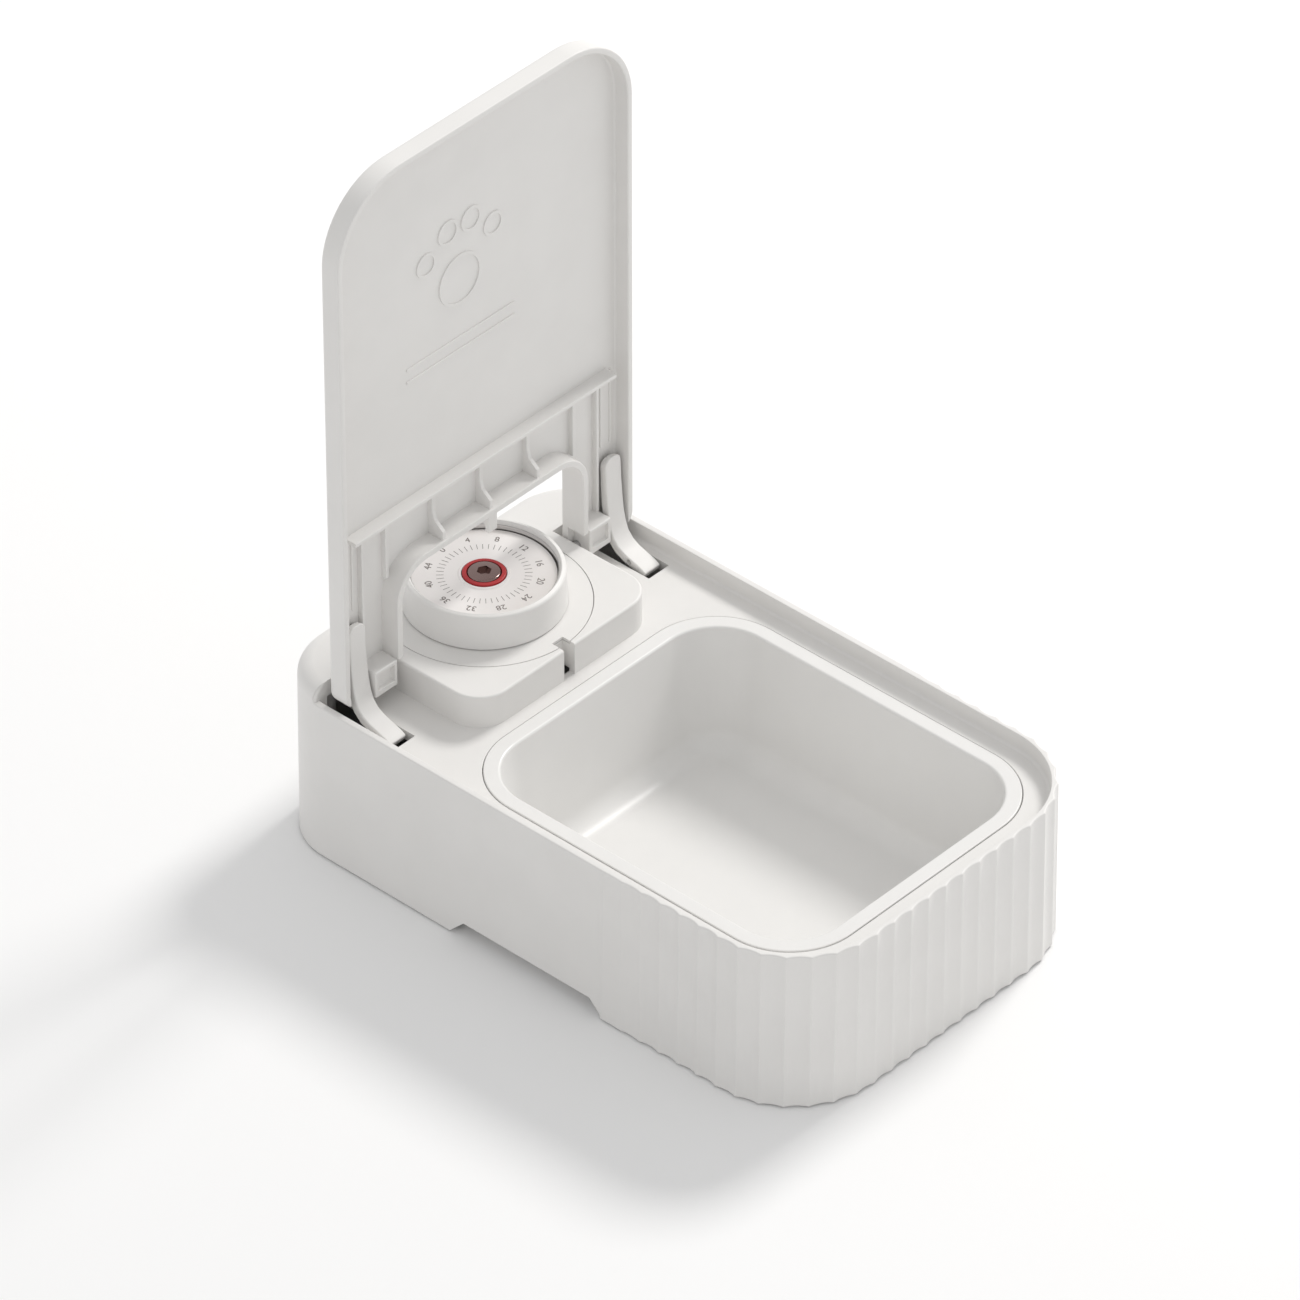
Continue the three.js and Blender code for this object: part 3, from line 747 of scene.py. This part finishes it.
def fin(x, foot, sweep):
    """An upright blade; where it sweeps, its lowest part is pulled towards the timer."""
    piece = block((x - 0.8, x + 0.8), (FIN_FRONT, INNER + 0.5), (foot, RIB_TOP - 0.5),
                  name="fin")
    hold(piece)
    if sweep:
        bpy.ops.object.mode_set(mode="EDIT")
        for height in (5, 8, 11):
            bpy.ops.mesh.select_all(action="SELECT")
            bpy.ops.mesh.bisect(plane_co=(0, 0, (foot + height) * MM), plane_no=(0, 0, 1))
        for low, top, pull in ((0, 6, 4.6), (6, 9, 0.8)):
            pick(piece, "VERT", lambda p: p.y < (FIN_FRONT + 0.1) * MM
                 and (foot + low) * MM <= p.z + 1e-6 < (foot + top) * MM)
            bpy.ops.transform.translate(value=(0, -pull * MM, 0))
    pick(piece, "EDGE", lambda a, b: max(a.y, b.y) < (FIN_FRONT + 0.1) * MM
         and abs(a.x - b.x) < 1e-6)
    bpy.ops.mesh.bevel(offset=0.3 * MM, segments=2, affect="EDGES", profile=0.5)
    return closed(piece)


for x in (-45.6, -23, 0, 23, 45.6):
    outer = abs(x) > 40
    fuse(lid, fin(x, 104 if outer else WIN_TOP + 0.5, not outer))
print("window rim, shelf and fins joined")

# %% [markdown]
# ## Stays, tracks and lugs
# Two stays run from the shelf down to the hinge lugs, and two low tracks beside each guide
# the lift arm. A lug is a box with a round bar across its foot. These parts are modelled
# for the right side and mirrored. The window is cut last, through all of them, so that its
# edge comes out clean.

# %% Stays, tracks and lugs
lid_parts = [block((LUG[1] - 1.2, LUG[1]), (FIN_FRONT, INNER + 0.5),
                   (LUG_TOP - 1, RIB_TOP - 0.5), 0.25)]
for x in (60.6, 65.2):
    lid_parts.append(block((x - 0.4, x + 0.4), (INNER - 0.5, INNER + 0.4),
                           (98, RIB_TOP - 1), 0.2))
lug = block(LUG, (WIN_FRONT, LID_BACK - 1.0), (HINGE_Z, LUG_TOP), 0.5)
fuse(lug, rod(LUG, HINGE_Y, HINGE_Z, LUG_R, 64),
     block(LUG, (WIN_FRONT, HINGE_Y), (HINGE_Z - 2, LUG_TOP - 1), 0.5))
lid_parts.append(lug)
for part in lid_parts:
    fuse(lid, twin(part), part)
pocket = block((LUG[0] + 1.4, LUG[1] - 1.4), (80, WIN_FRONT + 1.6), (65.6, 72.3), 0.4)
carve(lid, twin(pocket), pocket, arch("window", 0, 55, 125, 40))
pin_hole = rod((30, 56), HINGE_Y, HINGE_Z, PIN_BORE)
carve(lid, twin(pin_hole), pin_hole)
print("lugs, stays and tracks joined; lid has", len(lid.data.polygons), "faces")

# %% [markdown]
# ## Heels of the lid
# The foot of each leg has to roll past the rear block as the lid comes down, so its back
# corner is taken off at a slope. The cutter is a box whose upper front edge is pushed back.

# %% Heels of the lid
heel = block((-90, 90), (LID_BACK - 3, LID_BACK + 3), (LID_FOOT - 3, LID_FOOT + 4.2),
             name="heel")
hold(heel)
pick(heel, "VERT", lambda p: p.y < LID_BACK * MM and p.z > LID_FOOT * MM)
bpy.ops.transform.translate(value=(0, 3.6 * MM, 0))
closed(heel)
carve(lid, heel)
finish_mesh(lid, "lid", "white_plastic", "lid_panel", angle=30)

# %% [markdown]
# ## Raised mark on the lid
# Thin raised lines are moulded into the inner face of the lid. A plain paw print and two
# plain bars stand in for a picture and a line of text. Each pad is a flat disc carried up
# and back down into a ring, so it reads as a line and not as a button.

# %% Raised paw and bars
RELIEF, ROOT, RING = 0.45, 0.35, 1
PAW = [(-7, 205, 10), (-23, 219, 4.6), (-12.5, 226.5, 4.8), (-1.5, 226.5, 4.8), (9, 219, 4.6)]
BAR_X, BAR_Z, BAR_T = (-33, 19), (181, 176), 1.1


def round_pad(x, z, radius, depth, middle):
    clear()
    bpy.ops.mesh.primitive_cylinder_add(vertices=56, radius=radius * MM, depth=depth * MM,
                                        location=(x * MM, middle * MM, z * MM),
                                        rotation=(QUARTER, 0, 0))
    return closed(start("pad"))


def joined(name, pieces):
    """Makes one piece of several and names it."""
    hold(pieces[0])
    for piece in pieces:
        piece.select_set(True)
    bpy.ops.object.join()
    pieces[0].name = pieces[0].data.name = name
    return pieces[0]


lines = [carve(round_pad(x, z, radius, RELIEF + ROOT, INNER + (ROOT - RELIEF) / 2),
               round_pad(x, z, radius - RING, 3, INNER)) for x, z, radius in PAW]
lines += [block(BAR_X, (INNER - RELIEF, INNER + ROOT), (z, z + BAR_T), 0.2) for z in BAR_Z]
mark = joined("lid_mark", lines)
finish_mesh(mark, "lid", "white_plastic")

# %% [markdown]
# ## Lift arms
# Each arm is a flat strap: an upright that lies against the lid and a toe that reaches down
# into the slot in the tray. A strap like this is drawn by pushing its end face along a
# path. The end is extruded, moved to the next station, turned a little and made thicker or
# thinner. The top end is rounded off, all long edges are eased, and a small pin hole is
# sunk into the side that faces the timer.

# %% Lift arms
ARM, ARM_TOP, ARM_TOP_R, ARM_EASE = (58.8, 66.5), 94.6, 3.0, 0.55
STRAP = [  # y, z, thickness, slope of the strap in degrees from upright
    (70.6, 55.2, 2.6, 70), (72.6, 56.0, 3.6, 68), (76.0, 57.0, 3.9, 68), (80.0, 58.2, 4.1, 64),
    (83.4, 60.0, 4.3, 52), (85.9, 62.8, 4.3, 34), (87.3, 66.4, 4.1, 18), (88.3, 71.5, 3.9, 9),
    (88.9, 77.5, 3.8, 5), (89.4, 84.5, 3.7, 4), (89.65, ARM_TOP, 3.4, 0)]


def strap(name, stations, x):
    clear()
    y, z, thick, slope = stations[0]
    lean = math.radians(slope)
    bpy.ops.mesh.primitive_plane_add(size=1, location=(sum(x) / 2 * MM, y * MM, z * MM),
                                     rotation=(-lean, 0, 0))
    bpy.context.object.scale = ((x[1] - x[0]) * MM, thick * MM, 1)
    piece = start(name)
    bpy.ops.mesh.select_mode(type="FACE")
    for (y0, z0, t0, s0), (y1, z1, t1, s1) in zip(stations, stations[1:]):
        centre = ((x[0] + x[1]) / 2 * MM, y1 * MM, z1 * MM)
        bpy.ops.mesh.extrude_region_move(
            TRANSFORM_OT_translate={"value": (0, (y1 - y0) * MM, (z1 - z0) * MM)})
        turn(math.radians(s0 - s1), centre)
        spread(math.radians(s1), t1 / t0, centre)
    return piece


def turn(angle, centre):
    bpy.ops.transform.rotate(value=-angle, orient_axis="X", orient_type="GLOBAL",
                             center_override=centre)


def spread(lean, factor, centre):
    """Scales the selected end face across its own thickness."""
    turn(-lean, centre)
    bpy.ops.transform.resize(value=(1, factor, 1), center_override=centre)
    turn(lean, centre)


def ease_sharp(radius):
    """Rounds every edge of the piece in hand whose faces meet sharply."""
    bpy.ops.mesh.select_all(action="DESELECT")
    bpy.ops.mesh.select_mode(type="EDGE")
    bpy.ops.mesh.edges_select_sharp(sharpness=math.radians(50))
    bpy.ops.mesh.bevel(offset=radius * MM, segments=3, affect="EDGES", profile=0.5)


def lift_arm(name):
    piece = strap(name, STRAP, ARM)
    closed(piece)
    hold(piece)
    pick(piece, "EDGE", lambda a, b: abs(a.x - b.x) < 1e-6
         and min(a.z, b.z) > (ARM_TOP - 1) * MM)
    bpy.ops.mesh.bevel(offset=ARM_TOP_R * MM, segments=8, affect="EDGES", profile=0.5)
    ease_sharp(ARM_EASE)
    closed(piece)
    carve(piece, rod((57, 60.6), 77.8, 57.7, 1.1, 24))
    return piece


right_arm = lift_arm("lift_arm_right_shell")
left_arm = twin(right_arm, "lift_arm_left_shell")
finish_mesh(right_arm, "lid", "white_plastic", "lift_arm_right", angle=40)
finish_mesh(left_arm, "lid", "white_plastic", "lift_arm_left", angle=40)
print("arm box, mm:", [round(v / MM, 1) for v in right_arm.dimensions])

# %% [markdown]
# ## Lid catch
# A small hook hangs from the top of the lid's window and goes through the notch in the deck
# when the lid is shut. It is a bar scored across once, and the part below the score is made
# thinner, which leaves the ledge that the latch slides over.

# %% Lid catch
CATCH_LOW, LEDGE_Z, BARB = 100.6, 102.7, 2.4
catch = block((-2.1, 2.1), (WIN_FRONT + 0.3, WIN_FRONT + 4.4), (CATCH_LOW, WIN_TOP - 0.2),
              name="lid_catch_shell")
score(catch, z=(LEDGE_Z,))
hold(catch)
pick(catch, "VERT", lambda p: p.z < (LEDGE_Z + 0.3) * MM and p.y > (WIN_FRONT + 2) * MM)
bpy.ops.transform.translate(value=(0, -BARB * MM, 0))
ease_sharp(0.3)
closed(catch)
finish_mesh(catch, "lid", "white_plastic", "lid_catch")

# %% [markdown]
# ## Timer knob and seal plate
# The clockwork is wound by turning the whole knob. The knob is turned on a lathe in the
# pattern shop, and here a disc is carried up its drafted side, rolled over its lip and
# carried down into the dish that holds the dial. The seal plate is the thin disc under it.

# %% Knob and seal plate
KNOB_TOP, DIAL_Z, DIAL_R, SMOOTH = 83.5, 80.3, 24.6, 144
knob = disc("knob_shell", 0, KNOB_Y, 70.0, 28.1, SMOOTH)
carry([(0, 0.51), (0.45, KNOB_TOP - 1.3 - 70.51), *round_over(1.1, 6), (0.35, 0.2),
       (0.25, -0.05), (0.75, -0.95), (0.05, -(KNOB_TOP - 0.95 - DIAL_Z + 1.8)), (3, 0),
       (12, 0)])
closed(knob)
far_face(knob, "down")
carry([(1.9, 0), (0.4, -4.0), (1.5, -1.5)])
closed(knob)
carve(knob, post(0, KNOB_Y, (65, 90), 3.3))
finish_mesh(knob, "dial", "white_plastic", "timer_knob", angle=40)

seal = disc("seal_shell", 0, KNOB_Y, Z_DECK - 0.9, SEAL_R, 160)
carry([(0, 0.8), *round_over(0.15, 2)])
sliced(seal, SEAL_END, keep_rear=False)
closed(seal)
carve(seal, post(0, KNOB_Y, (60, 80), 3.1), block(CATCH_X, CATCH_Y, (60, 80)))
finish_mesh(seal, "housing", "white_plastic", "seal_plate", angle=30)

# %% [markdown]
# ## Dial, ring, red band and screw
# The dial is a thin spun plate of warm silver. Around it runs a polished ring, and in its
# middle a red band circles a polished screw with a six-sided socket, its metal colour painted
# dark as a painted dark reflection. All are discs carried through short profiles.

# %% Dial parts
dial = disc("dial_face", 0, KNOB_Y, DIAL_Z - 1.5, DIAL_R, SMOOTH)
carry([(0, 1.25), *round_over(0.25, 3), (DIAL_R - 0.25 - 9.0, 0), (0.4, 0.38)])
closed(dial)
carve(dial, post(0, KNOB_Y, (70, 90), 7.8, 96))
finish_mesh(dial, "dial", "dial_metal", "dial_plate", angle=25)

ring = disc("dial_ring_shell", 0, KNOB_Y, DIAL_Z - 1.5, 25.15, SMOOTH)
carry([(0, KNOB_TOP - 1.4 - DIAL_Z + 1.5)])
closed(ring)
bore = disc("bore", 0, KNOB_Y, 70, 24.9, SMOOTH)
carry([(0, 20)])
closed(bore)
carve(ring, bore)
finish_mesh(ring, "dial", "chrome_metal", "dial_ring", angle=30)

red = disc("dial_red_band", 0, KNOB_Y, DIAL_Z - 1.5, 7.5, 96)
carry([(0, 2.0), *round_over(0.4, 4)])
closed(red)
carve(red, post(0, KNOB_Y, (70, 90), 6.0, 96))
finish_mesh(red, "dial", "red_plastic", "dial_red_ring", angle=30)

screw = disc("dial_screw_shell", 0, KNOB_Y, DIAL_Z - 1.5, 5.7, 96)
carry([(0, 2.0), *round_over(0.7, 5), (1.2, 0.18), (1.0, 0.1)])
closed(screw)
socket = disc("socket", 0, KNOB_Y, DIAL_Z - 0.1, 2.6, 6)
carry([(0, 4)])
closed(socket)
carve(screw, socket)
finish_mesh(screw, "dial", "chrome_metal", "dial_screw", angle=30)

# %% [markdown]
# ## Dial marks
# Hours run clockwise round the dial in steps of four, with a fine line for each hour inside
# them. Numbers are typed as text, made into meshes, laid flat and turned to their place; the
# line is modelled once and copied round. They stand proud by a hair, as printed ink does.

# %% Hour numbers and lines
HOURS, NUMBER_R, INK = 48, 19.2, 0.04
marks = []
for hour in range(0, HOURS, 4):
    clear()
    bpy.ops.object.text_add()
    text = bpy.context.object
    text.data.body = str(hour)
    text.data.size, text.data.extrude = 3.6 * MM, INK / 2 * MM
    text.data.align_x, text.data.align_y = "CENTER", "CENTER"
    text.data.resolution_u = 4
    bpy.ops.object.convert(target="MESH")
    a = 2 * math.pi * hour / HOURS
    text.rotation_euler = (0, 0, -a)
    text.location = (NUMBER_R * math.sin(a) * MM, (KNOB_Y + NUMBER_R * math.cos(a)) * MM,
                     (DIAL_Z + INK / 2 + 0.005) * MM)
    bpy.ops.object.transform_apply(location=True, rotation=True, scale=True)
    marks.append(text)
line = block((-0.09, 0.09), (KNOB_Y + 13.6, KNOB_Y + 16.2), (DIAL_Z + 0.005, DIAL_Z + INK))
for step in range(HOURS):
    clear()
    line.select_set(True)
    bpy.context.view_layer.objects.active = line
    bpy.ops.object.duplicate()
    copy = bpy.context.object
    edit_all()
    bpy.ops.transform.rotate(value=2 * math.pi * step / HOURS, orient_axis="Z",
                             center_override=(0, KNOB_Y * MM, 0))
    clear()
    marks.append(copy)
bpy.data.objects.remove(line)
numbers = joined("dial_marks", marks)
clear()
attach(numbers, "dial")
print("dial marks:", len(numbers.data.polygons), "faces")

# %% [markdown]
# ## Feet
# Four round rubber pads, each with its lower edge rolled over. Each is made anew at the
# middle of its CAD foot.

# %% Feet
feet = []
for index in range(1, 5):
    low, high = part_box(f"foot_{index}")
    foot = disc(f"foot_pad_{index}", (low.x + high.x) / 2 / MM, (low.y + high.y) / 2 / MM,
                high.z / MM, 6.0, 64, "down")
    carry([(0, 0.7), *round_over(0.6, 4)])
    closed(foot)
    feet.append(finish_mesh(foot, "housing", "foot_rubber", f"foot_{index}", angle=40))

# %% [markdown]
# ## Moulded white plastic
# The body is satin ABS. Its colour drifts very slightly where the melt cooled, its gloss
# varies from the polish of the mould, and a fine spark texture breaks up the highlights.
# Noise on Object coordinates drives colour, roughness and bump.

# %% Plastic material
def plastic(name, light, dark, rough, grain, bump, drift=0.02):
    """A moulded plastic: two close colours, a roughness span, grain size in mm, bump in mm."""
    material = bpy.data.materials.new(name)
    material.use_nodes = True
    nodes, links = material.node_tree.nodes, material.node_tree.links
    shader = nodes["Principled BSDF"]
    place = nodes.new("ShaderNodeTexCoord")
    cloud = nodes.new("ShaderNodeTexNoise")
    cloud.inputs["Scale"].default_value = 1 / drift
    cloud.inputs["Detail"].default_value = 3
    spark = nodes.new("ShaderNodeTexNoise")
    spark.inputs["Scale"].default_value = 1 / (grain * MM)
    spark.inputs["Detail"].default_value = 2
    tint = nodes.new("ShaderNodeValToRGB")
    tint.color_ramp.elements[0].position, tint.color_ramp.elements[1].position = 0.35, 0.65
    tint.color_ramp.elements[0].color = (*dark, 1)
    tint.color_ramp.elements[1].color = (*light, 1)
    gloss = nodes.new("ShaderNodeMapRange")
    gloss.inputs["To Min"].default_value, gloss.inputs["To Max"].default_value = rough
    relief = nodes.new("ShaderNodeBump")
    relief.inputs["Strength"].default_value = 0.6
    relief.inputs["Distance"].default_value = bump * MM
    for noise in (cloud, spark):
        links.new(place.outputs["Object"], noise.inputs["Vector"])
    links.new(cloud.outputs["Fac"], tint.inputs["Fac"])
    links.new(tint.outputs["Color"], shader.inputs["Base Color"])
    links.new(spark.outputs["Fac"], gloss.inputs["Value"])
    links.new(gloss.outputs["Result"], shader.inputs["Roughness"])
    links.new(spark.outputs["Fac"], relief.inputs["Height"])
    links.new(relief.outputs["Normal"], shader.inputs["Normal"])
    return material


def coat(material, *names):
    """Puts one material on pieces or on CAD nodes."""
    for name in names:
        piece = bpy.data.objects[name]
        piece.data.materials.clear()
        piece.data.materials.append(material)


white = plastic("satin_white_abs", (0.80, 0.788, 0.77), (0.782, 0.77, 0.752),
                (0.42, 0.52), 0.35, 0.012)
coat(white, "housing_shell", "lid_shell", "lid_mark", "lid_catch_shell", "knob_shell",
     "seal_shell", "lift_arm_right_shell", "lift_arm_left_shell")
glossy = plastic("bowl_white", (0.825, 0.817, 0.802), (0.812, 0.804, 0.789),
                 (0.26, 0.33), 0.5, 0.004)
coat(glossy, "bowl")
base = plastic("base_white", (0.77, 0.757, 0.738), (0.75, 0.737, 0.718), (0.5, 0.6), 0.4, 0.02)
coat(base, "base_cover")
grey = plastic("works_grey", (0.27, 0.272, 0.278), (0.24, 0.242, 0.248), (0.5, 0.62), 0.4, 0.02)
coat(grey, "timer_case", "release_cam", "latch_slide")
band_red = plastic("band_red", (0.46, 0.018, 0.022), (0.40, 0.014, 0.018), (0.32, 0.42),
                   0.3, 0.006)
coat(band_red, "dial_red_band")
rubber = plastic("foot_rubber_grey", (0.05, 0.05, 0.052), (0.035, 0.035, 0.037),
                 (0.78, 0.9), 0.25, 0.03)
coat(rubber, *[foot.name for foot in feet])
ink = plastic("dial_ink", (0.20, 0.175, 0.16), (0.16, 0.14, 0.13), (0.5, 0.6), 0.2, 0.002)
coat(ink, "dial_marks")
print("plastics:", len(bpy.data.materials))

# %% [markdown]
# ## Metals
# Screws, pins and springs are plain steel with a fine drawn grain. The ring is polished
# steel. The centre screw is a warm bronze whose base colour is painted dark: a painted dark
# reflection that stands in for the dark surroundings its polish mirrors. The dial is spun
# and lacquered: its grain runs in circles, so light gathers in two opposite fans.
# Anisotropy needs a direction, so the plate gets a UV map whose first axis runs round the knob.

# %% Metal materials
def metal(name, light, dark, rough, stretch, grain, bump):
    """A metal whose grain is noise stretched by (x, y, z)."""
    material = plastic(name, light, dark, rough, grain, bump)
    nodes, links = material.node_tree.nodes, material.node_tree.links
    shader = nodes["Principled BSDF"]
    shader.inputs["Metallic"].default_value = 1.0
    place = next(n for n in nodes if n.type == "TEX_COORD")
    mapping = nodes.new("ShaderNodeMapping")
    mapping.inputs["Scale"].default_value = stretch
    links.new(place.outputs["Object"], mapping.inputs["Vector"])
    for noise in [n for n in nodes if n.type == "TEX_NOISE"]:
        links.new(mapping.outputs["Vector"], noise.inputs["Vector"])
    return material


steel = metal("drawn_steel", (0.62, 0.62, 0.63), (0.5, 0.5, 0.51), (0.24, 0.38),
              (0.2, 1, 1), 0.2, 0.004)
coat(steel, "hinge_pin_left", "hinge_pin_right", "lid_spring_left", "lid_spring_right",
     "timer_shaft", "case_screw_1", "case_screw_2", *[f"base_screw_{i}" for i in range(1, 5)])
polished = metal("polished_steel", (0.66, 0.655, 0.65), (0.6, 0.595, 0.59), (0.08, 0.16),
                 (1, 1, 0.2), 0.4, 0.002)
coat(polished, "dial_ring_shell")
# The screw's warm bronze tint is its own colour; its darkness is a painted dark reflection in
# the base colour.
bronze = metal("bronze_with_painted_dark_reflection", (0.30, 0.215, 0.20), (0.24, 0.165, 0.155), (0.12, 0.2),
               (1, 1, 0.2), 0.4, 0.002)
coat(bronze, "dial_screw_shell")


def wrap_round(piece):
    """Adds a UV map with the turn about the knob across and the radius up."""
    layer = piece.data.uv_layers.new(name="round")
    for loop in piece.data.loops:
        p = piece.data.vertices[loop.vertex_index].co
        dx, dy = p.x / MM, p.y / MM - KNOB_Y
        layer.data[loop.index].uv = (math.atan2(dy, dx) / (2 * math.pi) + 0.5,
                                     math.hypot(dx, dy) / 30)


champagne = metal("spun_champagne", (0.93, 0.895, 0.875), (0.90, 0.865, 0.845), (0.26, 0.36),
                  (1, 1, 1), 0.25, 0.003)
tree = champagne.node_tree
shader = tree.nodes["Principled BSDF"]
shader.inputs["Anisotropic"].default_value = 0.75
shader.inputs["Metallic"].default_value = 0.5
wrap_round(dial)
tangent = tree.nodes.new("ShaderNodeTangent")
tangent.direction_type, tangent.uv_map = "UV_MAP", "round"
tree.links.new(tangent.outputs["Tangent"], shader.inputs["Tangent"])
coat(champagne, "dial_face")

# %% [markdown]
# ## Floor
# The feeder stands on a large sheet of pale matt paper. It is a stage and not a piece, so it
# rides on nothing.

# %% Floor
clear()
bpy.ops.mesh.primitive_plane_add(size=12, location=(0, 0, 0))
floor = start("floor")
clear()
floor_white = plastic("floor_paper", (0.93, 0.93, 0.93), (0.925, 0.925, 0.925), (0.7, 0.8),
                      2.0, 0.01, 0.3)
coat(floor_white, "floor")
floor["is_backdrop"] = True
print("floor, m:", [round(v, 1) for v in floor.dimensions])

# %% [markdown]
# ## Lights and world
# A large soft key comes from the right, level with the lid, so the lid's inner face stays in
# half shade. A white world fills the shadows and leaves the white plastic its shape.

# %% Lights and world
KEY_SPOT, KEY_AIM, KEY_SIZE, KEY_WATTS = (1.75, 0.05, 1.75), (0, 0, 0.06), 0.7, 34
WORLD_STRENGTH = 0.70
key = bpy.data.lights.new("key", "AREA")
key.shape, key.size, key.energy, key.color = "DISK", KEY_SIZE, KEY_WATTS, (1, 0.985, 0.965)
lamp = bpy.data.objects.new("key", key)
bpy.context.scene.collection.objects.link(lamp)
lamp.location = KEY_SPOT
to_feeder = Vector(KEY_AIM) - Vector(KEY_SPOT)
lamp.rotation_euler = to_feeder.to_track_quat("-Z", "Y").to_euler()
world = bpy.data.worlds.new("studio_air")
bpy.context.scene.world = world
world.use_nodes = True
air = world.node_tree.nodes["Background"]
air.inputs["Color"].default_value = (1, 1, 1, 1)
air.inputs["Strength"].default_value = WORLD_STRENGTH
bpy.context.scene.view_settings.view_transform = "Standard"
print("key light", round(to_feeder.length, 2), "m away,", KEY_WATTS, "W")

# %% [markdown]
# ## Camera
# The camera looks down over the front left corner from almost four metres through a long
# lens, so that upright edges stay nearly parallel. Its place is given as a reach back from
# a point in the middle of the body, with a small step aside and a small lift.

# %% Camera
TURN, TILT = math.radians(47.649), math.radians(38.134)
REACH, SIDE_STEP, LIFT, SETBACK, AIM_Z = 3730.487, -12.162, 36.375, -2.05, 50.0
LENS, SENSOR = 311.2204, 36.0
ahead = Vector((math.sin(TURN) * math.cos(TILT), math.cos(TURN) * math.cos(TILT),
                -math.sin(TILT)))
across = Vector((math.cos(TURN), -math.sin(TURN), 0))
upward = across.cross(ahead)
camera = bpy.data.objects.new("camera", bpy.data.cameras.new("camera"))
bpy.context.scene.collection.objects.link(camera)
camera.location = (Vector((0, SETBACK, AIM_Z)) - REACH * ahead + SIDE_STEP * across
                   + LIFT * upward) * MM
camera.rotation_euler = ahead.to_track_quat("-Z", "Y").to_euler()
camera.data.sensor_width = SENSOR
camera.data.lens = LENS
camera.data.clip_start, camera.data.clip_end = 0.1, 30
bpy.context.scene.camera = camera
print("camera at", [round(c, 3) for c in camera.location], "lens", round(camera.data.lens, 1))

# %% [markdown]
# ## Size of the finished model
# The box of every shown piece, the floor left out, is measured and printed. The finished
# model has to stay inside the CAD model's box.

# %% Size and finish
bpy.context.view_layer.update()
low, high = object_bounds()
print("visual, mm:", [round(c / MM, 2) for c in (*low, *high)])
